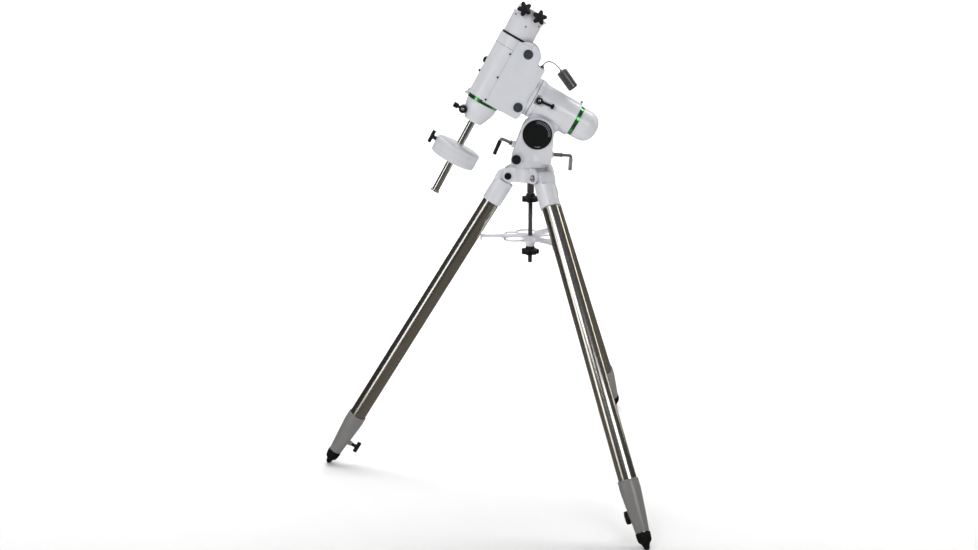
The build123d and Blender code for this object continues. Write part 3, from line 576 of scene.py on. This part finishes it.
# ---------------------------------------------------------------- castings
for node, width in (
    ("tripod_hub", 1.2), ("azimuth_base", 1.2), ("ra_housing", 1.2), ("dec_housing", 1.0), ("saddle", 0.9),
    ("shaft_nose", 0.8), ("spreader", 0.7),
):
    rounded_copy(node, width, WHITE)
rounded_copy("motor_cover", 0.5, COVER)
for leg in LEGS:
    rounded_copy(f"{leg}_leg_socket", 1.4, WHITE)

for node, material in (
    ("altitude_pivot", BOLT), ("ra_shaft", BOLT), ("dec_shaft", BOLT), ("polar_scope", DARK),
    ("drive_motors", BOLT), ("worm_drives", BRASS),
):
    keep_node(node, material)


# ---------------------------------------------------------------- legs
def wing(reach, half):
    """Outline of a wing handle, long one way and narrow the other."""
    power = 3.2

    def outline(angle):
        along = abs(math.cos(angle)) / reach
        across = abs(math.sin(angle)) / half
        return 1 / (along ** power + across ** power) ** (1 / power)
    return outline


def tip_place(leg):
    """Centre of the foot's round tip, along the leg."""
    hinge_height = joints[f"{leg}_leg_fold"]["pos_m"][2] * 1000
    return (hinge_height - TIP_RADIUS) / joints[f"{leg}_leg_extend"]["axis"][2]


def outer_tube(bm):
    turned(bm, ring_profile(TUBE_BORE, TUBE_RADIUS, -815, -32, 0.3))


def lower_tube(bm):
    """Lower leg tube with its guide collar at the top."""
    turned(bm, ring_profile(EXTENSION_BORE, EXTENSION_RADIUS, -914, -330, 0.3))
    turned(bm, ring_profile(EXTENSION_BORE, TUBE_BORE - 0.1, -362, -330, 0.8))


def clamp(bm):
    """Tapered casting with a rolled rim, a boss for the lock screw and two small screws."""
    rim, bore = TUBE_RADIUS + 0.1, EXTENSION_RADIUS + 0.1
    shell = [
        (bore, CLAMP_END), (16.8, CLAMP_END), (18.3, -890), (21.8, -852), (24.8, -815), (25.4, -804),
        (25.0, -789), (25.6, -786), (24.8, -783), (rim, -783),
    ]
    inside = [(rim, -814.8), (bore, -815.0), (bore, CLAMP_END)]
    turned(bm, softened(shell + inside, 1.2), 96)
    boss = [(0, 10), (7.6, 10), (6.8, 26), (6.4, 29), (3.2, 29)]
    turned(bm, softened(boss, 0.9), 40, shift(0, 0, LOCK_SCREW, (0, 1, 0), (-1, 0, 0)))
    for height, head in ((-800, 25.6), (-838, 23.6)):
        side = shift(0, 0, height, (0, 0, 1), (-0.94, -0.34, 0))
        turned(bm, cylinder(2.2, 22.0, head, 0.5), 24, side)


def lock_screw(bm):
    """T-handled screw."""
    turn = shift(0, 0, LOCK_SCREW, (0, 0, 1), (-1, 0, 0))
    stem = [(0, 29.4), (5.6, 29.4), (4.6, 35), (4.8, 40), (6.0, 44), (0, 46)]
    turned(bm, cylinder(3.0, 15.2, 34, 0.3), 24, turn)
    turned(bm, softened(stem, 1.0), 32, turn)
    lobed(bm, wing(16.0, 5.4), rounded_layers(41.5, 52.0, 2.4), turn, 96)


def make_leg(leg):
    place = leg_frame(leg)
    tip = tip_place(leg)

    def foot(bm):
        """Ribbed rubber cup that narrows to a round tip."""
        cup_radius = 17.6
        cup = [
            (0, -909), (16.4, -909), (cup_radius, -910), (cup_radius, -921), (16.9, -922), (17.1, -926),
            (14.6, -932.5), (11.0, -935), (9.4, -938), (7.6, -943), (TIP_RADIUS, -948),
        ]
        ball = [(TIP_RADIUS * math.cos(a), tip + TIP_RADIUS * math.sin(a)) for a in (0, -0.4, -0.8, -1.2)]
        turned(bm, softened(cup + ball + [(0, tip - TIP_RADIUS)], 0.8), 72)
        ribs = 10
        for index in range(ribs):
            angle = TURN * index / ribs
            out = Vector((math.cos(angle), math.sin(angle), 0))
            rib = shift(*(out * cup_radius), out.cross(Vector((0, 0, 1))), (0, 0, 1))
            block(bm, (-0.9, -0.7, -920), (0.9, 0.35, -911), 0.3, rib)

    for piece, build, node, finish, slot in (
        ("tube", outer_tube, "tube", TUBE, "polished_steel"),
        ("lower_tube", lower_tube, "extension", TUBE, "polished_steel"),
        ("clamp", clamp, "clamp", CLAMP, "clamp_casting"),
        ("foot", foot, "foot", RUBBER, "rubber"),
        ("lock_handle", lock_screw, "lock_screw", BLACK, "black_plastic"),
    ):
        stand_in(f"{leg}_{piece}", build, place, f"{leg}_leg_{node}", finish)


for leg in LEGS:
    make_leg(leg)


# ---------------------------------------------------------------- hub hardware
def hinge_hardware():
    heads = bmesh.new()
    nuts = bmesh.new()
    for leg in LEGS:
        joint = joints[f"{leg}_leg_fold"]
        pin = Vector(joint["axis"])
        centre = Vector(joint["pos_m"]) * 1000
        up = Vector((0, 0, 1))
        head = axes(centre + pin * HUB_CHEEK, up, pin)
        washer_and_head = [(0, 0), (9.0, 0), (9.0, 1.0), (7.5, 1.2), (7.5, 5.6), (0, 5.6)]
        turned(heads, softened(washer_and_head, 0.5), 48, head)
        hexagon(heads, 4.2, 5.2, 6.3, head)
        turned(heads, cylinder(5.0, -2 * HUB_CHEEK, 0, 0.3), 32, head)
        nut = axes(centre - pin * HUB_CHEEK, up, -pin)
        turned(nuts, softened([(0, 0), (9.2, 0), (9.2, 1.2), (0, 1.2)], 0.4), 48, nut)
        hexagon(nuts, 7.8, 1.0, 5.4, nut)
        dome = [(5.8 * math.cos(a), 4.6 + 4.4 * math.sin(a)) for a in (0, 0.3, 0.6, 0.9, 1.2, 1.45)]
        turned(nuts, [(0, 4.0), (5.8, 4.0)] + dome + [(0, 9.0)], 40, nut)
    bolt_mesh = to_mesh("hinge_bolt_heads", heads)
    new_object("hinge_bolt_heads", bolt_mesh, IN_PLACE, "tripod", DARK, ("hinge_bolts",))
    new_object("hinge_nuts", to_mesh("hinge_nuts", nuts), IN_PLACE, "tripod", BAR)


hinge_hardware()


def threaded_rod(bm):
    """Centre rod with its thread below the thick upper part."""
    pitch, crest, root = 1.75, 5.95, 5.2
    low, thread_low, thread_high = 578, 579, 762
    profile = [(0, low), (root - 0.6, low)]
    for index in range(int((thread_high - thread_low) / pitch)):
        height = thread_low + index * pitch
        profile += [(root, height), (crest, height + pitch / 2)]
    profile += [(crest, 764), (8.6, 764), (9.0, 764.6), (9.0, 813), (6.0, 813), (6.0, 838), (0, 838)]
    turned(bm, profile, 40)


stand_in("threaded_rod", threaded_rod, IN_PLACE, "centre_rod", ROD)


def rod_knob(name, node, top):
    """Hand knob with seven lobes and a stepped collar."""
    bore = 6.2

    def build(bm):
        lobed(bm, star(19.0, 24.0, 7, 0.7), rounded_layers(top - 21, top - 8.5, 3.0), None, 168)
        collar = [
            (bore, top - 9), (14.5, top - 9), (12.2, top - 7), (11.5, top - 1), (10.6, top), (bore, top),
        ]
        turned(bm, softened(collar + collar[:1], 0.6), 64)
        foot = [(bore, top - 22.2), (9.5, top - 22.2), (9.5, top - 20), (bore, top - 20)]
        turned(bm, softened(foot, 0.3), 48)
    stand_in(name, build, IN_PLACE, node, BLACK)


for name, node in (("mounting_knob", "mount_knob"), ("tray_knob", "spreader_knob")):
    rod_knob(name, node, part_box(node)[1].z * 1000)


# ---------------------------------------------------------------- base hardware
def azimuth_knob(side, where):
    """Fluted round grip with a dished face, on its bolt."""
    node = f"azimuth_knob_{where}"
    low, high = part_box(node)
    bolt = axes(((low.x + high.x) / 2, 0, (low.z + high.z) / 2), (1, 0, 0), (0, side, 0))

    def build(bm):
        turned(bm, cylinder(4.0, 6, 67, 0.3), 32)
        lobed(bm, star(11.5, 12.0, 28, 1.0), rounded_layers(66.5, 78.6, 1.6), None, 168)
        face = [(8.6, 78.0), (10.6, 79.9), (9.6, 80.0), (7.4, 79.4), (6.2, 77.6), (8.6, 78.0)]
        turned(bm, face, 64)
    stand_in(f"azimuth_grip_{where}", build, bolt, node, BLACK)


azimuth_knob(-1, "near")
azimuth_knob(1, "far")


def latitude_handle(where, side, reach, grip, cover):
    """L-handled bolt: screw, nut, bent arm and a sleeve on the handle."""
    node = f"latitude_bolt_{where}"
    out = Vector(joints[f"{node}_travel"]["axis"]) * -side
    down = Vector((out.z * side, 0, -abs(out.x)))
    place = axes(Vector(LUG) * 0.001, out, down)
    bar = 4.0

    def arm(bm):
        along = shift(0, 0, 0, (0, 0, 1), (1, 0, 0))
        turned(bm, cylinder(5.0, 7.6, reach * 0.72, 0.4), 32, along)
        hexagon(bm, 6.6, reach * 0.70, reach * 0.755, along)
        bend = 4.0
        points = [(reach * 0.6, 0, 0), (reach * 0.8, 0, 0)]
        for turn in quarter(8):
            points.append((reach - bend + bend * math.sin(turn), 0, bend - bend * math.cos(turn)))
        points.append((reach, 0, grip - 3))
        swept(bm, points, bar)

    def sleeve(bm):
        shape = [(0, 6), (5.0, 6), (5.3, 9), (5.0, grip - 8), (5.4, grip - 4), (4.2, grip - 0.3), (0, grip)]
        turned(bm, softened(shape, 0.8), 40, shift(reach, 0, 0))
    stand_in(f"latitude_{where}_arm", arm, place, node, HANDLE_GREY)
    added(f"latitude_{where}_sleeve", sleeve, place, node, cover)


# The two handles are alike. The front sleeve's black and the rear sleeve's grey are painted reflection, dark
# on one and lit on the other.
latitude_handle("front", -1, 97.0, 45, BLACK)
latitude_handle("rear", 1, 91.5, 39, REFLECTION_GREY_SLEEVE)


# ---------------------------------------------------------------- latitude dials
def dial_frame(side):
    """x to the viewer's right, z out of the dial's face."""
    return axes(PIVOT, (-side, 0, 0) if side > 0 else (1, 0, 0), (0, side, 0))


def scale_angle(degree):
    """Where a latitude lies on the dial, from its x axis."""
    return math.radians(-5 + 94 * (90 - degree) / 90)


def make_dials():
    discs = bmesh.new()
    bands = bmesh.new()
    marks = bmesh.new()
    profile = [
        (0, DIAL_BACK), (DIAL_RADIUS, DIAL_BACK), (DIAL_RADIUS, 48.4), (DIAL_RADIUS - 1.1, 49.5),
        (DIAL_RADIUS - 2.2, 49.5), (DIAL_RADIUS - 2.6, DIAL_FACE), (0, DIAL_FACE),
    ]
    base = DIAL_FACE - 0.05
    for side in (-1, 1):
        turn = dial_frame(side)
        turn.translation = PIVOT * 1000
        turned(discs, softened(profile, 0.3), 120, turn)
        arc_band(bands, 26.5, 34.6, math.radians(-12), math.radians(96), base, DIAL_FACE + 0.12, turn)
        for degree in range(0, 91, 2):
            inner = 30.6 if degree % 10 == 0 else 32.0
            bar = turn @ Matrix.Rotation(scale_angle(degree), 4, "Z")
            block(marks, (inner, -0.17, DIAL_FACE + 0.1), (34.0, 0.17, DIAL_FACE + 0.28), 0.06, bar)
        arc_band(marks, 30.6, 31.6, math.radians(-104), math.radians(-76), base, DIAL_FACE + 0.15, turn)
    body = "azimuth_base"
    disc_mesh = to_mesh("dial_discs", discs)
    new_object("dial_discs", disc_mesh, IN_PLACE, body, DARK, ("latitude_dials",))
    new_object("dial_bands", to_mesh("dial_bands", bands), IN_PLACE, body, SCALE_BAND)
    new_object("dial_marks", to_mesh("dial_marks", marks), IN_PLACE, body, MARKS)
    for side in (-1, 1):
        for degree in range(0, 91, 10):
            dial_number(side, degree)


def arc_band(bm, inner, outer, start, end, low, high, matrix):
    """Part of a flat ring, as a thin raised band."""
    steps = 40
    sections = []
    for step in range(steps + 1):
        angle = start + (end - start) * step / steps
        sections.append([
            bm.verts.new(matrix @ Vector((radius * math.cos(angle), radius * math.sin(angle), height)))
            for radius, height in ((inner, low), (outer, low), (outer, high), (inner, high))
        ])
    skinned(bm, sections)


def dial_number(side, value):
    """One raised number on the dial, turned to follow the scale."""
    angle = scale_angle(value)
    radius = 28.6
    text = bpy.data.curves.new("number", "FONT")
    text.body = str(value)
    text.size = 3.4
    text.extrude = 0.08
    text.align_x = "CENTER"
    text.align_y = "CENTER"
    holder = bpy.data.objects.new("number", text)
    bpy.context.scene.collection.objects.link(holder)
    bpy.context.view_layer.update()
    mesh = bpy.data.meshes.new_from_object(holder.evaluated_get(bpy.context.evaluated_depsgraph_get()))
    bpy.data.objects.remove(holder)
    spot = Matrix.Translation((radius * math.cos(angle), radius * math.sin(angle), DIAL_FACE + 0.2))
    mesh.transform(spot @ Matrix.Rotation(angle - math.pi / 2, 4, "Z"))
    where = "near" if side < 0 else "far"
    new_object(f"dial_number_{where}_{value}", mesh, dial_frame(side), "azimuth_base", MARKS)


make_dials()


# ---------------------------------------------------------------- polar axis
ALONG_X = shift(0, 0, 0, (0, 0, -1), (1, 0, 0))


def cap(bm):
    """Domed cap: a short round skirt and a full dome."""
    start, dome, tip, radius = 236.0, 255.0, 291.0, 40.0
    outer = [(36.6, start), (radius - 0.4, start), (radius, start + 0.5), (radius, start + 3.4),
             (radius - 0.45, start + 3.8), (radius, start + 4.2), (radius, dome)]
    for turn in quarter(24, 1):
        outer.append((radius * max(math.cos(turn), 0) ** 0.86, dome + (tip - dome) * math.sin(turn) ** 0.94))
    outer[-1] = (0, tip)
    inner = [(0, tip - 4), (20, tip - 7.5), (30, tip - 15), (35, dome + 4), (35.2, start), (36.6, start)]
    turned(bm, outer + inner, 120, ALONG_X)


stand_in("finder_cap", cap, HEAD, "polar_scope_cap", WHITE)


def graduated_ring(name, node, inner, outer, low, high, matrix, spigot):
    """Green setting circle with a fine edge groove and raised graduations."""
    def ring(bm):
        profile = [
            (inner, low), (outer - 0.5, low), (outer, low + 0.5), (outer, high - 0.5), (outer - 0.5, high),
            (inner, high), (inner, low),
        ]
        turned(bm, softened(profile, 0.2), 144, matrix)
        if spigot:
            turned(bm, ring_profile(inner, 36.0, spigot, low, 0.2), 96, matrix)

    def ticks(bm):
        count, top = 144, high - 0.7
        for index in range(count):
            length = 2.8 if index % 6 == 0 else 1.5
            spoke = matrix @ Matrix.Rotation(TURN * index / count, 4, "Z")
            block(bm, (outer - 0.2, -0.16, top - length), (outer + 0.07, 0.16, top), 0.04, spoke)
    stand_in(name, ring, HEAD, node, GREEN)
    added(f"{name}_marks", ticks, HEAD, node, DARK)


graduated_ring("polar_circle_ring", "ra_setting_circle", 33.0, 39.5, 225.3, 235.5, ALONG_X, 218.3)
graduated_ring("declination_circle_ring", "dec_setting_circle", 15.1, 42.0, -75.0, -65.3, IN_PLACE, None)


def thumbscrew(bm):
    place = shift(221.5, 0, 0)
    turned(bm, cylinder(2.0, 36.2, 46, 0.2), 20, place)
    lobed(bm, star(3.3, 3.7, 12, 1.0), rounded_layers(45.5, 52, 0.7), place, 72)


stand_in("polar_circle_thumbscrew", thumbscrew, HEAD, "ra_circle_screw", BOLT)


# ---------------------------------------------------------------- clutch levers
def add_from(bm, other, matrix):
    """Copy another bmesh's faces into bm through a matrix."""
    copies = {vert: bm.verts.new(matrix @ vert.co) for vert in other.verts}
    for face in other.faces:
        bm.faces.new([copies[vert] for vert in face.verts])
    other.free()


def make_lever(name, node, matrix, reach):
    """Black clutch lever with a flared end and a bright screw in its hub."""
    def build(bm):
        hub = [
            (3.1, 0), (8.6, 0), (9.0, 1.0), (9.0, 8.6), (7.6, 11.0), (5.0, 11.0), (4.6, 8.6), (3.1, 8.6),
            (3.1, 0),
        ]
        turned(bm, softened(hub, 0.5), 64, matrix)
        arm = bmesh.new()
        swept(arm, [(6.0, 0, 4.9), (reach * 0.5, 0, 4.6), (reach, 0, 4.9)], 3.2, 24)
        flattened = Matrix.Diagonal((1, 1, 0.72, 1))
        add_from(bm, arm, matrix @ Matrix.Translation((0, 0, 1.3)) @ flattened)
        end = bmesh.new()
        lobed(end, wing(6.8, 3.6), rounded_layers(-3.6, 3.6, 1.4), None, 72)
        crosswise = Matrix.Rotation(math.pi / 2, 4, "Z")
        add_from(bm, end, matrix @ Matrix.Translation((reach, 0, 5.2)) @ crosswise)

    def screw(bm):
        head = [(0, 6.5), (4.4, 6.5), (4.4, 8.9), (3.4, 10.4), (1.9, 10.8), (1.6, 9.6), (0, 9.4)]
        turned(bm, softened(head, 0.4), 40, matrix)
    stand_in(name, build, HEAD, node, LEVER)
    added(f"{name}_screw", screw, HEAD, node, BAR)


make_lever("polar_lever", "ra_lock_lever", shift(123.0, -45.3, 2.7, (1, 0, 0.1), (0, -1, 0)), 36.0)

dec_lever_turn = math.radians(149)
outward = Vector((math.cos(dec_lever_turn), math.sin(dec_lever_turn), 0))
dec_lever_place = outward * (DEC_RADIUS + 0.3) + Vector((0, 0, 23))
make_lever("declination_lever", "dec_lock_lever", shift(*dec_lever_place, (0, 0, -1), outward), 31.0)


# ---------------------------------------------------------------- declination housing details
def seal(bm):
    turned(bm, ring_profile(15.0, 41.8, 107.3, 112.5, 0.8), 120)


stand_in("saddle_seal", seal, HEAD, "dec_seal_ring", BLACK)


def barrel_seam(bm):
    """Fine joint line where the housing's upper ring meets its barrel."""
    turned(bm, ring_profile(43.6, 44.10, 78.7, 79.3, 0.05), 144)


added("barrel_seam", barrel_seam, HEAD, "dec_housing", GREY)

def plugs(bm):
    for x, z in PLUGS:
        face = [
            (0, 0), (9.5, 0), (9.5, 2.0), (12.0, 2.0), (12.0, 3.3), (11.3, 3.9), (8.3, 4.0), (7.9, 3.4),
            (6.9, 3.4),
            (6.5, 3.9), (0, 3.8),
        ]
        turned(bm, softened(face, 0.25), 72, shift(x, -COVER_FACE + 2.0, z, (1, 0, 0), (0, -1, 0)))


stand_in("adjuster_plugs", plugs, HEAD, "cover_plugs", GREY)


def small_screws(bm):
    for z in (68, 3, -60):
        turned(bm, socket_head(2.4, 1.6, 1.3), 32, shift(3.0, -DEC_RADIUS, z, (1, 0, 0), (0, -1, 0)))
    for side in (-1, 1):
        turned(bm, cylinder(1.6, 42.3, 49.5, 0.2), 24, shift(0, 0, CIRCLE_SCREW_Z, (0, 1, 0), (side, 0, 0)))
        seat = shift(side * 49.3, 0, CIRCLE_SCREW_Z, (0, 1, 0), (side, 0, 0))
        turned(bm, socket_head(2.4, 2.4, 1.3), 32, seat)


stand_in("cover_screws", small_screws, HEAD, "housing_screws", DARK)


def panel(bm):
    """Connector panel with three round sockets and four screws."""
    block(bm, (30, 43.6, -46), (88, 45.6, 46), 1.0)
    for z in (-26, 2, 28):
        ring = [(4.2, 0), (8.2, 0), (8.2, 1.0), (7.2, 1.6), (5.6, 1.6), (4.2, 0.6), (4.2, 0)]
        turned(bm, softened(ring, 0.25), 48, shift(59, 45.4, z, (1, 0, 0), (0, 1, 0)))
        pins = 5
        for pin in range(pins):
            turn = TURN * pin / pins
            spot = (59 + 2.4 * math.cos(turn), 45.2, z + 2.4 * math.sin(turn))
            turned(bm, cylinder(0.5, 0, 1.2, 0.15), 12, shift(*spot, (1, 0, 0), (0, 1, 0)))
    for x in (34, 84):
        for z in (-42, 42):
            turned(bm, socket_head(2.2, 1.2, 1.0), 24, shift(x, 45.3, z, (1, 0, 0), (0, 1, 0)))


stand_in("connector_panel", panel, HEAD, "port_panel", GREY)


# ---------------------------------------------------------------- lamp
def gland(bm):
    place = shift(90, LAMP_Y, 0)
    turned(bm, cylinder(2.5, 70, 75.6, 0.2), 32, place)
    hexagon(bm, 5.2, 75.4, 78.2, place)
    nose = [(0, 77.5), (4.2, 77.5), (3.6, 79.2), (2.3, 81.6), (0, 81.6)]
    turned(bm, softened(nose, 0.4), 40, place)


lamp_gland_piece = stand_in("lamp_cord_gland", gland, HEAD, "lamp_gland", GREY)


def lamp(bm):
    """Barrel of the finder's lamp, in line with the cord's last run."""
    last, before = (Vector((x, LAMP_Y, z)) for x, z in (CORD_ROUTE[-1], CORD_ROUTE[-2]))
    profile = [
        (0, -1.0), (2.2, -1.0), (3.0, 1.2), (4.4, 2.6), (11.6, 3.2), (13.5, 5.2), (13.5, 38.2), (12.9, 38.7),
        (12.9, 39.6), (13.4, 40.1), (13.3, 53.6), (11.6, 56.5), (5.0, 56.5), (4.4, 55.4), (0, 55.4),
    ]
    turned(bm, softened(profile, 0.5), 72, shift(*last, (0, 1, 0), last - before))


lamp_piece = stand_in("lamp_barrel", lamp, HEAD, "lamp_housing", LAMP)


# ---------------------------------------------------------------- saddle
def saddle_knob(name, node, x, turn):
    """Clamp bolt with a five-lobed knob, turned as it stands."""
    def build(bm):
        place = shift(x, 0, 181, (0, 0, 1), (0, -1, 0))
        turned(bm, cylinder(4.0, 20, 46, 0.4), 32, place)
        layers = rounded_layers(44, 57, 3.0)
        lobed(bm, star(11.0, 18.5, 5, 0.75, turn), layers, place, 150)
        boss = [(0, 56.0), (7.6, 56.0), (7.2, 57.5), (5.6, 57.9), (5.0, 57.2), (0, 57.2)]
        turned(bm, softened(boss, 0.4), 48, place)
    stand_in(name, build, HEAD, node, BLACK)


saddle_knob("clamp_knob_upper", "saddle_knob_upper", -18.5, 43.6)
saddle_knob("clamp_knob_lower", "saddle_knob_lower", 24.0, 13.2)


def saddle_details(bm):
    turned(bm, socket_head(2.0, 1.0, 1.2), 24, shift(4.8, -39.4, 145, (1, 0, 0), (0.12, -1, 0)))
    for x, z in ((-31.4, 164), (33.5, 164)):
        y = -math.sqrt(40.6 ** 2 - x ** 2)
        turned(bm, socket_head(1.9, 1.2, 1.0), 24, shift(x, y, z - 4, (0, 0, 1), (x / 40, y / 40, 0)))


added("saddle_screws", saddle_details, HEAD, "saddle", DARK)


# ---------------------------------------------------------------- counterweight group
def shaft_lever(bm):
    """Hub, short arm and square grip of the lever that clamps the weight's bar."""
    x, z = NOSE_LEVER
    place = shift(x, 0, z, (-1, 0, 0), (0, -1, 0))
    turned(bm, cylinder(3.0, -8, 12, 0.3), 24, place)
    hub = [
        (0, 9.3), (10.0, 9.3), (10.5, 10.5), (10.5, 22.5), (8.6, 26.0), (5.6, 26.0), (5.0, 24.2), (0, 24.2),
    ]
    turned(bm, softened(hub, 0.8), 64, place)
    block(bm, (-50, -20.5, -114.6), (-40, -12.5, -107.4), 1.6)
    block(bm, (-63, -23.0, -117.5), (-49, -10.0, -104.5), 2.6)
    ring = [(2.6, 22.6), (4.2, 22.6), (3.8, 23.6), (2.9, 23.6), (2.6, 22.6)]
    turned(bm, softened(ring, 0.2), 32, shift(x - 20, 0, z, (1, 0, 0), (0, -1, 0)))


def shaft_lever_screw(bm):
    profile = [(0, 23.0), (4.8, 23.0), (4.6, 25.0), (3.4, 26.4), (1.8, 26.8), (1.4, 25.6), (0, 25.5)]
    x, z = NOSE_LEVER
    turned(bm, softened(profile, 0.4), 40, shift(x, 0, z, (-1, 0, 0), (0, -1, 0)))


stand_in("shaft_lever_handle", shaft_lever, HEAD, "shaft_lock_lever", LEVER)
added("shaft_lever_screw", shaft_lever_screw, HEAD, "shaft_lock_lever", BAR)


def weight_bar(bm):
    turned(bm, cylinder(9.0, -330.6, -100, 0.6), 72)
    turned(bm, cylinder(11.5, -336, -331, 1.0), 72)


stand_in("weight_bar", weight_bar, HEAD, "counterweight_shaft", BAR)


def weight(bm):
    """Cast weight with rounded rims and two fine turned lines."""
    bore, outer, low, high = 9.06, 60.0, -243.0, -199.0
    profile = [(bore, low), (14, low), (15, low + 0.8), (outer - 7, low + 0.8)]
    lower_rim, upper_rim = 6, 4
    for turn in quarter(8, 1):
        reach = outer - lower_rim + lower_rim * math.sin(turn)
        profile.append((reach, low + 0.8 + lower_rim * (1 - math.cos(turn))))
    for line in (low + 15, high - 12):
        profile += [(outer, line - 0.5), (outer - 0.45, line), (outer, line + 0.5)]
    for turn in quarter(8):
        reach = outer - upper_rim + upper_rim * math.cos(turn)
        profile.append((reach, high - 0.8 - upper_rim * (1 - math.sin(turn))))
    profile += [(15, high - 0.8), (14, high), (bore, high), (bore, low)]
    turned(bm, profile, 144)


stand_in("weight_disc", weight, HEAD, "counterweight", IRON)


def weight_screw(bm):
    """T-handled screw through the weight's side."""
    place = shift(0, 0, -213, (0, 0, 1), (-1, 0, 0))
    turned(bm, cylinder(4.0, 9.4, 66, 0.3), 24, place)
    stem = [(0, 60.4), (6.0, 60.4), (4.8, 64), (5.2, 69), (7.5, 73), (0, 75)]
    turned(bm, softened(stem, 1.0), 40, place)
    lobed(bm, wing(17.0, 5.6), rounded_layers(69.0, 78.0, 2.4), place, 96)


stand_in("weight_screw", weight_screw, HEAD, "counterweight_screw", BLACK)


# ---------------------------------------------------------------- the lamp's cord: finish and body
lamp_flex.data.materials.append(FLEX)
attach(lamp_flex, "declination_housing")
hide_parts("lamp_cord")


# ---------------------------------------------------------------- studio
def area_light(name, place, target, size, power, colour=(1, 1, 1)):
    """Soft rectangular light that faces its target."""
    light = bpy.data.lights.new(name, "AREA")
    light.shape = "RECTANGLE"
    light.size, light.size_y = size
    light.energy = power
    light.color = colour
    lamp = bpy.data.objects.new(name, light)
    bpy.context.scene.collection.objects.link(lamp)
    lamp.location = place
    lamp.rotation_mode = "QUATERNION"
    lamp.rotation_quaternion = (Vector(target) - Vector(place)).to_track_quat("-Z", "Y")


def studio_sweep():
    """Pale floor that curves up into a backdrop.

    It isn't seen in reflections: polished steel mirrors the lights and a dim room, as it does in a
    studio with open sides.
    """
    front, back, bend, top, half = -8.0, 3.2, 1.2, 7.0, 9.0
    profile = [(front, 0.0), (back - bend, 0.0)]
    for turn in quarter(12, 1):
        profile.append((back - bend + bend * math.sin(turn), bend - bend * math.cos(turn)))
    profile.append((back, top))
    bm = bmesh.new()
    rows = [[bm.verts.new((side * half, y, z)) for side in (-1, 1)] for y, z in profile]
    for low, high in zip(rows, rows[1:]):
        bm.faces.new((low[0], low[1], high[1], high[0])).smooth = True
    mesh = bpy.data.meshes.new("studio_sweep")
    bm.to_mesh(mesh)
    bm.free()
    mesh.materials.append(floor_finish())
    sweep = bpy.data.objects.new("studio_sweep", mesh)
    bpy.context.scene.collection.objects.link(sweep)
    sweep.visible_glossy = False


def studio_world():
    """Dim surroundings: warm below the horizon, darkest at it and neutral above."""
    world = bpy.data.worlds.new("studio_world")
    bpy.context.scene.world = world
    world.use_nodes = True
    tree = world.node_tree
    direction = tree.nodes.new("ShaderNodeTexCoord")
    height = tree.nodes.new("ShaderNodeSeparateXYZ")
    tone = tree.nodes.new("ShaderNodeValToRGB")
    stops = (
        (0.0, (0.20, 0.18, 0.155)), (0.42, (0.15, 0.135, 0.115)), (0.52, (0.03, 0.03, 0.03)),
        (1.0, (0.12, 0.12, 0.13)),
    )
    while len(tone.color_ramp.elements) < len(stops):
        tone.color_ramp.elements.new(0.5)
    for element, (position, colour) in zip(tone.color_ramp.elements, stops):
        element.position = position
        element.color = (*colour, 1)
    shift_up = tree.nodes.new("ShaderNodeMapRange")
    shift_up.inputs["From Min"].default_value = -1.0
    tree.links.new(direction.outputs["Generated"], height.inputs["Vector"])
    tree.links.new(height.outputs["Z"], shift_up.inputs["Value"])
    tree.links.new(shift_up.outputs["Result"], tone.inputs["Fac"])
    tree.links.new(tone.outputs["Color"], tree.nodes["Background"].inputs["Color"])


studio_sweep()
studio_world()
middle = (0.0, 0.0, 0.75)
area_light("key_strip", (-2.5, -1.9, 1.1), (0.0, 0.0, 0.7), (0.7, 2.4), 17)
area_light("key_light", (-1.5, -2.9, 3.0), middle, (1.5, 1.5), 37)
area_light("fill_light", (1.7, -3.1, 1.9), middle, (1.6, 1.2), 31)
area_light("rim_light", (2.7, 1.1, 1.5), middle, (0.4, 2.2), 14, (1.0, 0.93, 0.82))
area_light("top_light", (0.0, 0.6, 3.8), middle, (2.0, 2.0), 18)
area_light("back_light", (0.0, 1.4, 3.4), (0.0, 3.2, 0.6), (6.0, 1.2), 190)
bpy.context.scene.view_settings.view_transform = "Standard"
